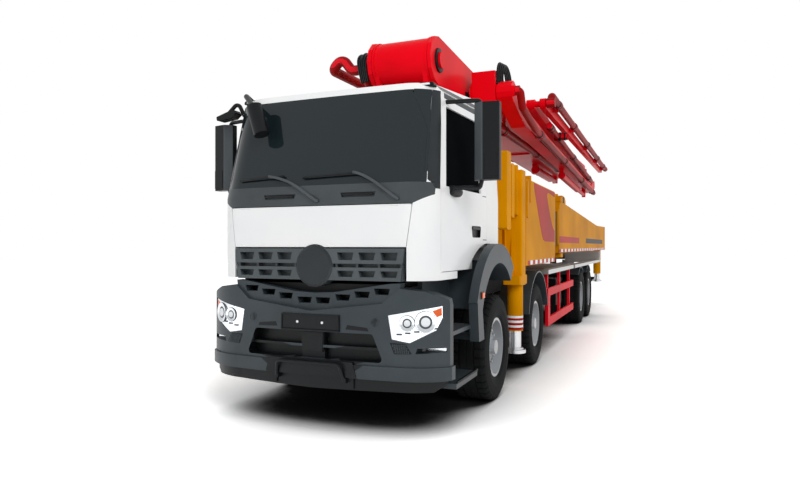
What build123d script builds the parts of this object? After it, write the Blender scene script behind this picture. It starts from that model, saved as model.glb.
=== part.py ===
from build123d import *
import os
from math import atan2, cos, pi, radians, sin, sqrt

os.makedirs("parts", exist_ok=True)

# A five-arm truck-mounted concrete pump on a four-axle chassis, stowed for the road.
# Millimetres. +X is forward, +Y is the truck's left, +Z is up, and the ground is Z = 0.

# ---- Driving dimensions ---------------------------------------------------------------
FRONT_X = 7185
FRONT_AXLES = (5510, 3400)
REAR_AXLES = (-1480, -2830)
HUB_Z = 530
TYRE_R = 530
RIM_R = 286
KINGPIN_Y = 870
RUNNING_GAP = 0.1

RAIL_Y = 440
RAIL_BOTTOM = 870
RAIL_TOP = 1150
RAIL_FRONT = 6700
NOSE_BEAM_X = RAIL_FRONT + 60

CAB_REAR = 5270
CAB_BOTTOM = 1275
SILL_Z = 2000
SCREEN_BOTTOM = 2085
HEADER_Z = 2890
CAB_WALL = 55
SHUT_GAP = 6
ARCH_CENTRE = (5583, 689)
ARCH_R = 894

BODY_TOP = 2380
BODY_FRONT = 4200
BODY_SIDE = 1230
SLEW_X = 3760

BEAM_PIN_X = 1410
BEAM_PIN_Y = 1120
REAR_LEG_X = -5540
FRONT_LEG_X = 4400
FRONT_LEG_Y = 1140

# Boom pivots as (x, z); every boom pivot axis lies along Y.
P1 = (4940, 3700)
P2 = (-6290, 3600)
P3 = (3760, 3560)
P4 = (-6280, 3230)
P5 = (2110, 3730)
PIPE_R = 62


# ---- Shape helpers --------------------------------------------------------------------
def block(x0, x1, y0, y1, z0, z1):
    return Solid.make_box(x1 - x0, y1 - y0, z1 - z0, Plane((x0, y0, z0)))


def prism(axis, points, start, end, radius=0):
    """An outline given in the plane across an axis, drawn straight along that axis."""
    place = {
        "x": lambda a, b: (start, a, b),
        "y": lambda a, b: (a, start, b),
        "z": lambda a, b: (a, b, start),
    }[axis]
    along = {"x": Vector(1, 0, 0), "y": Vector(0, 1, 0), "z": Vector(0, 0, 1)}[axis]
    face = Face(Wire.make_polygon([place(a, b) for a, b in points], close=True))
    if radius:
        face = face.fillet_2d(radius, face.vertices())
    return Solid.extrude(face, along * (end - start))


def rod(start, end, radius):
    span = Vector(*end) - Vector(*start)
    return Solid.make_cylinder(radius, span.length, Plane(origin=start, z_dir=span))


def y_rod(point, y0, y1, radius):
    """A pin or tube along Y about a pivot given as (x, z)."""
    return rod((point[0], y0, point[1]), (point[0], y1, point[1]), radius)


def pipe(points, radius, bend):
    path = FilletPolyline(*points, radius=bend) if len(points) > 2 else Line(*points)
    span = Vector(*points[1]) - Vector(*points[0])
    section = Face(Wire([Edge.make_circle(radius, Plane(origin=points[0], z_dir=span))]))
    return Solid.sweep(section, Wire(path.edges()))


def turned(profile, centre, side):
    """A ring turned about Y: profile is (radius, y) from the truck's middle outwards."""
    x, z = centre
    wire = Wire.make_polygon([(x + r, side * y, z) for r, y in profile], close=True)
    return Solid.revolve(Face(wire), 360, Axis((x, 0, z), (0, 1, 0)))


def arch(centre, inner, outer, y0, y1, start, end):
    """A mudguard: part of a ring about Y between two angles above the forward direction."""
    x, z = centre

    def at(r, a):
        return (x + r * cos(radians(a)), y0, z + r * sin(radians(a)))

    middle = (start + end) / 2
    edges = [
        Edge.make_three_point_arc(at(outer, start), at(outer, middle), at(outer, end)),
        Edge.make_line(at(outer, end), at(inner, end)),
        Edge.make_three_point_arc(at(inner, end), at(inner, middle), at(inner, start)),
        Edge.make_line(at(inner, start), at(outer, start)),
    ]
    return Solid.extrude(Face(Wire(edges)), Vector(0, y1 - y0, 0))


def fused(shapes):
    shapes = list(shapes)
    return shapes[0].fuse(*shapes[1:]) if len(shapes) > 1 else shapes[0]


def mirrored(shapes):
    return [shape.mirror(Plane.XZ) for shape in shapes]


def both(shapes):
    shapes = [solid for shape in shapes for solid in shape.solids()]
    return shapes + mirrored(shapes)


def save(name, shapes):
    """Joins what touches, and writes one named piece of the truck."""
    whole = fused([solid for shape in shapes for solid in shape.solids()])
    export_step(Compound(whole.solids()), f"parts/{name}.step")


def save_sides(name, make):
    """Writes the left piece and its mirror image."""
    left = [solid for shape in make for solid in shape.solids()]
    save(f"{name}_left", left)
    save(f"{name}_right", mirrored(left))


# ---- Chassis --------------------------------------------------------------------------
def chassis_frame():
    flange, web = 75, 12
    channel = [
        (RAIL_Y - flange, RAIL_BOTTOM),
        (RAIL_Y, RAIL_BOTTOM),
        (RAIL_Y, RAIL_TOP),
        (RAIL_Y - flange, RAIL_TOP),
        (RAIL_Y - flange, RAIL_TOP - web),
        (RAIL_Y - web, RAIL_TOP - web),
        (RAIL_Y - web, RAIL_BOTTOM + web),
        (RAIL_Y - flange, RAIL_BOTTOM + web),
    ]
    rails = both([prism("x", channel, -6300, RAIL_FRONT)])
    members = [6500, 6050, 5050, 2600, 1200, -100, -1500, -2830, -4200, -5600, -6280]
    inner = RAIL_Y - web
    ladder = [block(x, x + 80, -inner, inner, 900, 1060) for x in members]
    nose = block(RAIL_FRONT, NOSE_BEAM_X, -700, 700, 760, 1060)
    pin_hole = rod((NOSE_BEAM_X + 70, 0, 600), (NOSE_BEAM_X + 70, 0, 1000), 25)
    tow_socket = block(NOSE_BEAM_X, NOSE_BEAM_X + 140, -110, 110, 700, 900).cut(pin_hole)
    drop = block(RAIL_FRONT - 60, RAIL_FRONT, -400, 400, 700, 870)
    drop_link = block(RAIL_FRONT, NOSE_BEAM_X, -300, 300, 700, 760)
    return rails + ladder + [nose, drop, drop_link] + tow_socket.solids()


def engine_block():
    block_z = RAIL_BOTTOM + 190
    housing = block(5000, 6200, -330, 330, block_z, 1260)
    gearbox = rod((4820, 0, block_z + 40), (5000, 0, block_z + 40), 190)
    fan = rod((6200, 0, 1120), (6280, 0, 1120), 140)
    return [housing, gearbox, fan]


def front_axle_beams():
    shapes = []
    for x in FRONT_AXLES:
        shapes.append(block(x - 60, x + 60, -760, 760, 570, 700))
        for side in (1, -1):
            y0, y1 = sorted((side * 375, side * 445))
            shapes.append(block(x - 700, x + 700, y0, y1, 700, 770))
            for end in (-680, 600):
                shapes.append(block(x + end, x + end + 80, y0, y1, 770, RAIL_BOTTOM))
            arm = sorted((side * 700, side * KINGPIN_Y))
            eye = rod((x, side * KINGPIN_Y, 430), (x, side * KINGPIN_Y, 640), 62)
            pin = rod((x, side * KINGPIN_Y, 300), (x, side * KINGPIN_Y, 800), 28 + RUNNING_GAP)
            shapes += fused([block(x - 50, x + 50, *arm, 450, 620), eye]).cut(pin).solids()
    return shapes


def knuckle(x, side):
    y = side * KINGPIN_Y
    pin = rod((x, y, 390), (x, y, 690), 28)
    plate = block(x - 60, x + 60, *sorted((side * 945, side * 990)), 390, 690)
    lugs = []
    for z0, z1 in ((390, 425), (645, 690)):
        lugs.append(block(x - 55, x + 55, *sorted((y, side * 945)), z0, z1))
        lugs.append(rod((x, y, z0), (x, y, z1), 55))
    spindle = rod((x, side * 990, HUB_Z), (x, side * 1120, HUB_Z), 48)
    drum = rod((x, side * 990, HUB_Z), (x, side * 1036, HUB_Z), 200)
    return [pin, plate, spindle, drum] + lugs


def tyre(x, side, y0, y1):
    """A tyre between two faces, with bulging walls and a slightly crowned tread."""
    middle, half = (y0 + y1) / 2, (y1 - y0) / 2

    def at(r, y):
        return (x + r, side * y, HUB_Z)

    bead = RIM_R + 2
    walls = [(bead, 0.80), (400, 1.0), (505, 0.90)]
    low = [at(r, middle - half * k) for r, k in walls]
    high = [at(r, middle + half * k) for r, k in walls]
    edges = [
        Edge.make_three_point_arc(*low),
        Edge.make_line(low[2], at(TYRE_R, middle - half * 0.74)),
        Edge.make_line(at(TYRE_R, middle - half * 0.74), at(TYRE_R, middle + half * 0.74)),
        Edge.make_line(at(TYRE_R, middle + half * 0.74), high[2]),
        Edge.make_three_point_arc(high[2], high[1], high[0]),
        Edge.make_line(high[0], low[0]),
    ]
    return Solid.revolve(Face(Wire(edges)), 360, Axis((x, 0, HUB_Z), (0, 1, 0)))


HAND_HOLES = 8
HAND_HOLE_PCR = 232


def rim(x, side, y0, y1, disc_y):
    """A drop-centre rim with one pressed disc, pierced by a ring of hand holes."""
    inner, lip = RIM_R - 14, RIM_R + 14
    profile = [
        (lip, y0 - 6), (lip, y0 + 4), (RIM_R, y0 + 10), (RIM_R, y1 - 10), (lip, y1 - 4), (lip, y1 + 6),
        (inner, y1 + 6), (inner, disc_y + 16), (190, disc_y + 16), (150, disc_y + 36), (110, disc_y + 36),
        (110, disc_y + 18), (140, disc_y + 18), (180, disc_y), (inner, disc_y), (inner, y0 - 6),
    ]
    disc = turned(profile, (x, HUB_Z), side)
    holes = []
    for k in range(HAND_HOLES):
        angle = 2 * pi * k / HAND_HOLES
        place = (x + HAND_HOLE_PCR * cos(angle), HUB_Z + HAND_HOLE_PCR * sin(angle))
        holes.append(y_rod(place, side * (disc_y - 5), side * (disc_y + 25), 26))
    return disc.cut(*holes)


def front_wheel(x, side):
    y0, y1 = 835, 1220
    bead0, bead1 = 835 + 38, 1220 - 38
    hub = turned(
        [(48 + RUNNING_GAP, 1042), (112, 1042), (112, 1124), (78, 1134), (72, 1190), (0, 1190), (0, 1124),
         (48 + RUNNING_GAP, 1124)],
        (x, HUB_Z), side,
    )
    return [tyre(x, side, y0, y1), rim(x, side, bead0, bead1, 1086), hub]


def rear_wheel(x, side):
    tyres = [tyre(x, side, 905, 1220), tyre(x, side, 560, 875)]
    outer = rim(x, side, 905 + 32, 1220 - 32, 906)
    inner = rim(x, side, 560 + 32, 875 - 32, 830)
    hub = turned(
        [(60 + RUNNING_GAP, 600), (130, 600), (130, 866), (170, 866), (170, 942), (112, 942), (108, 1090),
         (0, 1090), (0, 1064), (60 + RUNNING_GAP, 1064)],
        (x, HUB_Z), side,
    )
    return tyres + [outer, inner, hub]


def rear_axle_housings():
    shapes = []
    for x in REAR_AXLES:
        shapes.append(rod((x, -580, HUB_Z), (x, 580, HUB_Z), 88))
        shapes.append(rod((x, -1060, HUB_Z), (x, 1060, HUB_Z), 60))
        shapes.append(rod((x - 150, 0, HUB_Z), (x + 190, 0, HUB_Z), 190))
        for side in (1, -1):
            y0, y1 = sorted((side * 375, side * 455))
            shapes.append(block(x - 90, x + 90, y0, y1, 590, 660))
    middle = sum(REAR_AXLES) / 2
    for side in (1, -1):
        y0, y1 = sorted((side * 375, side * 455))
        shapes.append(block(middle - 900, middle + 900, y0, y1, 655, 745))
        shapes.append(block(middle - 160, middle + 160, y0, y1, 745, RAIL_BOTTOM))
    shaft_end = REAR_AXLES[0] + 190
    shapes.append(rod((shaft_end, 0, 600), (3100, 0, 760), 45))
    shapes.append(block(3060, 3140, -200, 200, 715, 805))
    for side in (1, -1):
        y0, y1 = sorted((side * 160, side * 200))
        shapes.append(block(3060, 3140, y0, y1, 805, 1000))
        shapes.append(block(3060, 3140, *sorted((side * 200, side * (RAIL_Y - 12))), 960, 1000))
    return shapes


def chassis_tanks():
    tank = prism("x", [(-1140, 470), (-640, 470), (-640, 1050), (-1140, 1050)], 1450, 2550, 70)
    straps = [block(x, x + 60, -640, -RAIL_Y, 900, 1000) for x in (1600, 2340)]
    bottles = [rod((1300, y, 720), (2100, y, 720), 120) for y in (620, 900)]
    hangers = [block(x, x + 50, RAIL_Y, 960, 830, 900) for x in (1400, 1950)]
    battery = block(400, 1000, 560, 1080, 560, 1000)
    battery_arm = block(600, 800, RAIL_Y, 560, 900, 980)
    silencer = rod((300, -820, 760), (1200, -820, 760), 240)
    silencer_arm = block(700, 800, -820, -RAIL_Y, 900, 990)
    return [tank, battery, battery_arm, silencer, silencer_arm] + straps + bottles + hangers


def side_guards():
    x0, x1 = -90, 2610
    shapes = []
    for z0, z1 in ((400, 520), (830, 940)):
        shapes.append(block(x0, x1, 1190, 1225, z0, z1))
    for x in (120, 1250, 2400):
        shapes.append(block(x, x + 60, 1150, 1190, 400, 1150))
    shapes.append(block(x1 - 180, x1, 1185, 1225, 400, 940))
    return both(shapes)


def mudguards():
    """Arches over the two steered axles and the drive axles, with the cab's entry steps."""
    left = [
        arch(ARCH_CENTRE, 700, ARCH_R, 1160, 1245, 24, 135),
        arch(ARCH_CENTRE, 700, 726, 830, 1160, 24, 135),
        block(5040, 5110, RAIL_Y, 900, 1100, 1149),
        block(5040, 5090, 835, 900, 1140, 1215),
        prism("y", [(6168, 700), (6340, 700), (6390, 1050), (6225, 980)], 1160, 1245),
        arch((FRONT_AXLES[1], HUB_Z), 680, 700, 850, 1240, 16, 164),
        block(3360, 3440, RAIL_Y, 900, 1130, 1149),
        block(3360, 3440, 860, 900, 1149, 1215),
    ]
    for x in REAR_AXLES:
        left.append(arch((x, HUB_Z), 590, 606, 570, 1200, 50, 130))
    left.append(block(-3400, -900, RAIL_Y, 700, 1136, 1149))
    left += [block(x - 60, x + 60, 620, 700, 1120, 1140) for x in REAR_AXLES]
    back_wall = block(6168, 6870, 860, 900, 380, 1262)
    low_step = block(6250, 6870, 900, 1200, 380, 425)
    top_step = block(6300, 6870, 900, 1170, 820, 855)
    riser = block(6168, 6250, 900, 1160, 700, 760)
    tie = block(6200, 6300, RAIL_Y, 860, 930, 1010)
    return both(left + [back_wall, low_step, top_step, riser, tie])


# ---- Cab ------------------------------------------------------------------------------
# The front seen from above at each level: nose x, then (x, y) of the shoulder, the middle of the
# rounded corner, its end and the rear of the side. It is the same on both sides.
PLANS = {
    "cab": (7105, (7095, 800), (7020, 985), (6880, 1062), (CAB_REAR, 1150)),
    "header": (6905, (6890, 760), (6820, 925), (6705, 1008), (CAB_REAR, 1105)),
    "roof": (6850, (6835, 700), (6775, 855), (6670, 930), (CAB_REAR + 30, 1020)),
    "bumper": (FRONT_X, (7140, 760), (7060, 1040), (6950, 1172), (6600, 1190)),
}
# How far each plan point moves in x and y when the wall moves in by one.
INSET_WEIGHTS = ((1, 0), (1, 0.3), (0.7, 0.7), (0.3, 1), (-1, 1))
ROOF_SLOPE = 0.075
PANEL_REAR = 6878


def plan_wire(row, z, inset=0, slope=0):
    """An outline from above, with a bowed front, round corners and straight sides."""
    nose, *rest = PLANS[row]
    left = []
    for (x, y), (weight_x, weight_y) in zip([(nose, 0)] + rest, INSET_WEIGHTS):
        x, y = x - inset * weight_x, y - inset * weight_y
        left.append((x, y, z + slope * (nose - x)))
    right = [(x, -y, height) for x, y, height in left]
    edges = [
        Edge.make_three_point_arc(right[1], left[0], left[1]),
        Edge.make_three_point_arc(left[1], left[2], left[3]),
        Edge.make_line(left[3], left[4]),
        Edge.make_line(left[4], right[4]),
        Edge.make_line(right[4], right[3]),
        Edge.make_three_point_arc(right[3], right[2], right[1]),
    ]
    return Wire(edges)


def plan_solid(row, inset, z0, z1):
    return Solid.extrude(Face(plan_wire(row, z0, inset)), Vector(0, 0, z1 - z0))


def plan_ring(row, out, depth, z0, z1, outline):
    """A curved panel that follows the front, cropped to an outline seen from ahead."""
    ring = plan_solid(row, -out, z0, z1).cut(plan_solid(row, depth - out, z0 - 1, z1 + 1))
    return ring.intersect(prism("x", outline, PANEL_REAR, 7400)).solids()


def cab_body(inset):
    """The cab's outside, or its inside when inset: upright to the sill, then leaning back."""
    lower = plan_solid("cab", inset, CAB_BOTTOM, SILL_Z)
    sill = plan_wire("cab", SILL_Z, inset)
    header = plan_wire("header", HEADER_Z, inset)
    roof = plan_wire("roof", 2952 - inset, inset, ROOF_SLOPE)
    upper = Solid.make_loft([sill, header], ruled=True)
    top = Solid.make_loft([header, roof], ruled=True)
    return fused([lower, upper, top])


def cab_ring(out, depth, outline, axis="x", start=6880, end=7300):
    """The stretch of the cab's wall, from out of its face to a depth, behind an outline."""
    wall = fused(cab_body(-out).cut(cab_body(depth - out)).solids())
    return wall.intersect(prism(axis, outline, start, end)).solids()


DOOR_OUTLINE = [
    (6862, 1345), (6862, SILL_Z), (6692, 2860), (6640, 2900), (5690, 2900), (5650, 2860), (5650, 1345),
]
WINDOW_OUTLINE = [(6735, 2070), (6610, 2775), (5810, 2775), (5810, 2070)]
SCREEN_OUTLINE = [(-985, SCREEN_BOTTOM), (985, SCREEN_BOTTOM), (957, HEADER_Z - 5), (-957, HEADER_Z - 5)]
COWL_OUTLINE = [
    (-1040, 1985), (-895, 1910), (895, 1910), (1040, 1985), (1040, SCREEN_BOTTOM), (-1040, SCREEN_BOTTOM),
]
FLAP_OUTLINE = [(-840, 1552), (840, 1552), (884, 1870), (884, 1903), (-884, 1903), (-884, 1870)]
BOSS = (0, 1390)
BOSS_R = 180


def door_zone(side, gap, depth):
    """The slab of the cab's side wall that a door fills, or with a gap the hole it leaves."""
    start, end = sorted((side * 900, side * 1300))
    outline = grown(DOOR_OUTLINE, gap) if gap else DOOR_OUTLINE
    over = 10 if gap else 0
    zone = fused(cab_ring(over, depth + over, outline, "y", start, end))
    wheel_room = y_rod(ARCH_CENTRE, side * 800, side * 1400, ARCH_R + SHUT_GAP - gap)
    return zone.cut(wheel_room)


def cab_shell():
    outer = cab_body(0)
    floor = block(CAB_REAR + 20, 6800, -1150, 1150, 1545, 1575)
    firewall = block(6760, 6800, -1050, 1050, CAB_BOTTOM, 1990)
    shelf = block(6760, 7200, -1050, 1050, 1960, 1990)
    inside = cab_body(30)
    walls = outer.cut(
        cab_body(CAB_WALL),
        block(6800, 7300, -846, 846, 1200, 1560),
        prism("x", [(-846, 1550), (846, 1550), (895, 1910), (-895, 1910)], 6800, 7300),
        prism("x", SCREEN_OUTLINE, 6600, 7300),
        prism("x", COWL_OUTLINE, 6880, 7300),
        block(CAB_REAR + CAB_WALL, 6480, -1150, 1150, 1200, 1340),
        block(6470, 6700, -1000, 1000, 1200, 1340),
    )
    plates = [shape.intersect(inside) for shape in (floor, firewall, shelf)]
    whole = fused([solid for shape in [walls, *plates] for solid in shape.solids()])
    whole = whole.cut(
        door_zone(1, SHUT_GAP, CAB_WALL + SHUT_GAP),
        door_zone(-1, SHUT_GAP, CAB_WALL + SHUT_GAP),
        y_rod(ARCH_CENTRE, -1300, -1060, ARCH_R + 2),
        y_rod(ARCH_CENTRE, 1060, 1300, ARCH_R + 2),
        y_rod(ARCH_CENTRE, -1070, -820, 730),
        y_rod(ARCH_CENTRE, 820, 1070, 730),
    )
    mounts = []
    for side in (1, -1):
        y0, y1 = sorted((side * 365, side * RAIL_Y))
        mounts.append(block(6600, 6690, y0, y1, RAIL_TOP, 1545))
        mounts.append(block(5300, 5400, y0, y1, RAIL_TOP, 1545))
    return [*whole.solids()] + mounts


def grown(points, gap):
    """An outline pushed outwards on all sides, for an even shut line."""
    wire = Wire.make_polygon([(a, b, 0) for a, b in points], close=True)
    shape = wire.offset_2d(gap, kind=Kind.INTERSECTION)
    return [(v.X, v.Y) for v in ordered(shape)]


def ordered(wire):
    return [edge.position_at(0) for edge in wire.order_edges()]


DOOR_PIN = (6852, 1060)


def door():
    """The left door: a slab of the cab's wall on a vertical pin, with its window and handle."""
    window = prism("y", WINDOW_OUTLINE, 900, 1300)
    pocket = prism("y", [(5850, 1640), (6080, 1640), (6100, 1750), (5830, 1750)], 1090, 1300, 20)
    leaf = door_zone(1, 0, CAB_WALL)
    shallow = fused(cab_ring(5, 30, DOOR_OUTLINE, "y", 900, 1300)).intersect(pocket)
    leaf = leaf.cut(window, *shallow.solids())
    handle = block(5840, 6095, 1086, 1116, 1715, 1742)
    pin = rod((*DOOR_PIN, 1340), (*DOOR_PIN, 1420), 9)
    return [*leaf.solids(), handle, pin]


def door_glass():
    return cab_ring(-20, 12, WINDOW_OUTLINE, "y", 900, 1300)


# The mirror case seen from above, from its inner edge round its bulged front.
MIRROR_PLAN = [(6500, 1265), (6575, 1265), (6622, 1345), (6590, 1488), (6500, 1488)]


def side_mirror():
    case = prism("z", MIRROR_PLAN, 2125, 2790, 22)
    arms = []
    for z, lean in ((2060, 40), (2815, -60)):
        x_root = 6650 if z < 2400 else 6600
        y_root = 1048 if z < 2400 else 1006
        path = [(x_root, y_root, z), (x_root - 20, 1180, z), (6550, 1310, z), (6550, 1330, z + lean * 2)]
        arms += pipe(path, 19, 30).cut(cab_body(0)).solids()
    return [case] + arms


def kerb_mirror():
    """The small mirror over the kerb side's door that looks down at the kerb, on its arched arm."""
    arm = pipe([(6640, -960, 2832), (6650, -1070, 2845), (6672, -1130, 2985), (6690, -1230, 2880)], 20, 36)
    outline = [(-1330, 2840), (-1130, 2900), (-1100, 2860), (-1150, 2820), (-1320, 2800)]
    head = prism("x", outline, 6650, 6760, 12)
    return [*arm.cut(cab_body(0)).solids(), head]


def windscreen():
    """The bowed screen in its opening, and the dark cowl panel below it."""
    glass = cab_ring(-4, 10, SCREEN_OUTLINE)
    cowl = cab_ring(0, 30, COWL_OUTLINE)
    wells = []
    for y in (-360, 410):
        wells.append(prism("x", [(y - 150, 1972), (y + 150, 1972), (y + 165, 2012), (y - 165, 2012)], 7085, 7200))
    return [*glass, *fused(cowl).cut(*wells).solids()]


def cab_interior():
    shapes = []
    for y in (560, -560):
        shapes.append(block(5660, 6160, y - 250, y + 250, 1575, 1840))
        cushion = [(y - 250, 1840), (y + 250, 1840), (y + 250, 1960), (y - 250, 1960)]
        shapes.append(prism("x", cushion, 5660, 6200, 40))
        back_rest = [(5540, 1900), (5700, 1900), (5600, 2650), (5480, 2650)]
        shapes.append(prism("y", back_rest, y - 240, y + 240, 30))
    shapes.append(block(5500, 6500, -250, 250, 1575, 1720))
    dash = [(6500, 1575), (6760, 1575), (6760, 1990), (7010, 1990), (7010, 2040), (6700, 2080), (6560, 2080),
            (6480, 1980)]
    shapes.append(prism("y", dash, -940, 940))
    wheel_centre = (6380, 560, 2080)
    column = rod((6580, 560, 1950), wheel_centre, 35)
    shapes += [column, Solid.make_torus(210, 16, Plane(origin=wheel_centre, z_dir=(-200, 0, 130)))]
    spoke = Vector(130, 0, 200).normalized() * 205
    centre = Vector(*wheel_centre)
    shapes.append(rod(tuple(centre - spoke), tuple(centre + spoke), 14))
    return shapes


# ---- Front end ------------------------------------------------------------------------
FLAP_PIN = (7094, 1897)


def boss_room(radius):
    return rod((6900, *BOSS), (7300, *BOSS), radius)


def front_flap():
    """The service flap, hung from a rolled edge along its top."""
    panel = fused(plan_ring("cab", 0, 30, 1552, 1903, FLAP_OUTLINE)).cut(boss_room(BOSS_R + SHUT_GAP))
    rolled_edge = y_rod(FLAP_PIN, -780, 780, 7)
    return [*panel.solids(), rolled_edge]


def slots(row):
    """Cutting tools for a row of trapezoid grille openings: (y middle, half width, z0, z1)."""
    tools = []
    for y, half, z0, z1 in row:
        points = [(y - half * 0.8, z0), (y + half * 0.8, z0), (y + half, z1), (y - half, z1)]
        tools.append(prism("x", points, 6500, 7400))
    return tools


# The grille's two bars, as (bottom, top, opening bottom, opening top).
GRILLE_BARS = ((1270, 1380, 1300, 1352), (1412, 1540, 1442, 1506))
GRILLE_CELLS = (300, 500, 700)
GRILLE_HALF = 832


def grille():
    """Two bowed bars pierced by trapezoid openings, either side of a plain round boss."""
    outline = [(-800, 1270), (800, 1270), (GRILLE_HALF, 1540), (-GRILLE_HALF, 1540)]
    shapes = []
    for low, high, slot_low, slot_high in GRILLE_BARS:
        row = [(side * y, 78, slot_low, slot_high) for y in GRILLE_CELLS for side in (1, -1)]
        shapes += fused(plan_ring("cab", 14, 76, low, high, outline)).cut(*slots(row)).solids()
    shapes += plan_ring("cab", -60, 22, 1270, 1540, outline)
    for y in (205, 400, 600, 800):
        for side in (1, -1):
            strip = [(side * y - 10, 1271), (side * y + 10, 1271), (side * y + 10, 1539), (side * y - 10, 1539)]
            shapes += plan_ring("cab", -10, 52, 1271, 1539, strip)
    boss = rod((7000, *BOSS), (7118, *BOSS), BOSS_R)
    crown = Solid.make_cone(BOSS_R, BOSS_R - 22, 14, Plane(origin=(7118, *BOSS), z_dir=(1, 0, 0)))
    return shapes + [boss, crown]


def symmetric(half_outline):
    """A whole outline from its left half, given from the bottom middle round to the top."""
    right = [(-y, z) for y, z in reversed(half_outline) if y]
    return half_outline + right


BUMPER_HALF = [
    (0, 355), (1060, 375), (1140, 440), (1215, 540), (1215, 900), (1165, 1130), (1000, 1190), (800, 1215),
    (655, 1090), (0, 1010),
]
VEE_HALF = [(0, 1010), (655, 1090), (800, 1215), (806, 1256), (700, 1250), (420, 1205), (187, 1168), (0, 1160)]
LAMP_OUTLINE = [(704, 995), (736, 802), (887, 778), (1085, 880), (1128, 979), (1128, 1076)]
FOG_OUTLINE = [(930, 690), (1150, 700), (1150, 735), (945, 735)]
INTAKE_OUTLINE = [(-667, 606), (667, 606), (571, 838), (-571, 838)]


def across(outline):
    return [(-y, z) for y, z in outline]


def bumper():
    """The bumper's bowed skin, its deep band, the V-shaped grille over it and the step."""
    skin = fused(plan_ring("bumper", 0, 150, 355, 1216, symmetric(BUMPER_HALF)))
    undercut = plan_solid("bumper", -30, 300, 462).cut(plan_solid("bumper", 25, 299, 463))
    tools = [undercut, prism("x", INTAKE_OUTLINE, 6000, 7400, 30)]
    for outline in (LAMP_OUTLINE, across(LAMP_OUTLINE)):
        tools.append(prism("x", outline, 6400, 7400))
    for outline in (FOG_OUTLINE, across(FOG_OUTLINE)):
        tools.append(prism("x", outline, 6900, 7400))
    skin = skin.cut(*tools)
    half = 1240
    band = plan_ring("bumper", 18, 60, 470, 580, [(-half, 460), (half, 460), (half, 590), (-half, 590)])
    row = []
    for y in (90, 280, 460, 640):
        z = 1078 + 0.16 * y
        row += [(y, 72, z - 22, z + 30), (-y, 72, z - 22, z + 30)]
    vee = fused(plan_ring("cab", 20, 90, 1010, 1256, symmetric(VEE_HALF))).cut(*slots(row))
    mesh = plan_ring("bumper", -112, 20, 600, 845, [(-690, 600), (690, 600), (690, 845), (-690, 845)])
    rib = plan_ring("bumper", -40, 60, 700, 722, [(-650, 700), (650, 700), (650, 722), (-650, 722)])
    posts = plan_ring("bumper", -60, 60, 606, 838, [(-110, 606), (110, 606), (110, 838), (-110, 838)])
    step = prism("x", [(-440, 480), (440, 480), (405, 600), (-405, 600)], 7120, 7195)
    handle = pipe([(7195, -330, 440), (7232, -300, 580), (7232, 300, 580), (7195, 330, 440)], 13, 40)
    handle_feet = [block(7150, 7205, *sorted((s * 310, s * 350)), 425, 465) for s in (1, -1)]
    carriers = [block(NOSE_BEAM_X, 7060, *sorted((s * 600, s * 660)), 860, 960) for s in (1, -1)]
    plate = block(7120, 7192, -275, 275, 848, 976)
    return [*skin.solids(), *band, *vee.solids(), *mesh, *rib, *posts, step, handle, plate] + handle_feet + carriers


def headlamps():
    lamp = plan_ring("bumper", -6, 110, 700, 1100, LAMP_OUTLINE)
    return both(lamp)


def front_mirror():
    """The arm from the kerb side's roof corner, with the mirror that looks down at the nose."""
    arm = pipe([(6650, -900, 2915), (6860, -900, 2990), (7080, -640, 2800)], 24, 60)
    head = rod((7060, -660, 2830), (7085, -560, 2560), 70)
    return [*arm.cut(cab_body(0)).solids(), head]


# ---- Body -----------------------------------------------------------------------------
SLIDE_ANGLE = 50
DIAGONAL = (cos(radians(SLIDE_ANGLE)), sin(radians(SLIDE_ANGLE)))
BEAM_LEVELS = {1: (1500, 1840), -1: (1900, 2240)}


def diagonal_box(side, back, front, half, z0, z1):
    """A box along the front outrigger's slanted slide line, from the leg inwards."""
    dx, dy = DIAGONAL[0], side * DIAGONAL[1]
    nx, ny = -dy, dx
    corners = []
    for along, across in ((-back, -half), (front, -half), (front, half), (-back, half)):
        x = FRONT_LEG_X + dx * along + nx * across
        y = side * FRONT_LEG_Y + dy * along + ny * across
        corners.append((x, y))
    return prism("z", corners, z0, z1)


# The nested ends of the outrigger housings, seen from the side: x front, x back, z low, z high.
HOUSING_ENDS = ((5070, 4880, 1740, 2600), (4830, 4700, 1880, 2490), (4180, 4090, 1900, 2350))


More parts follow.
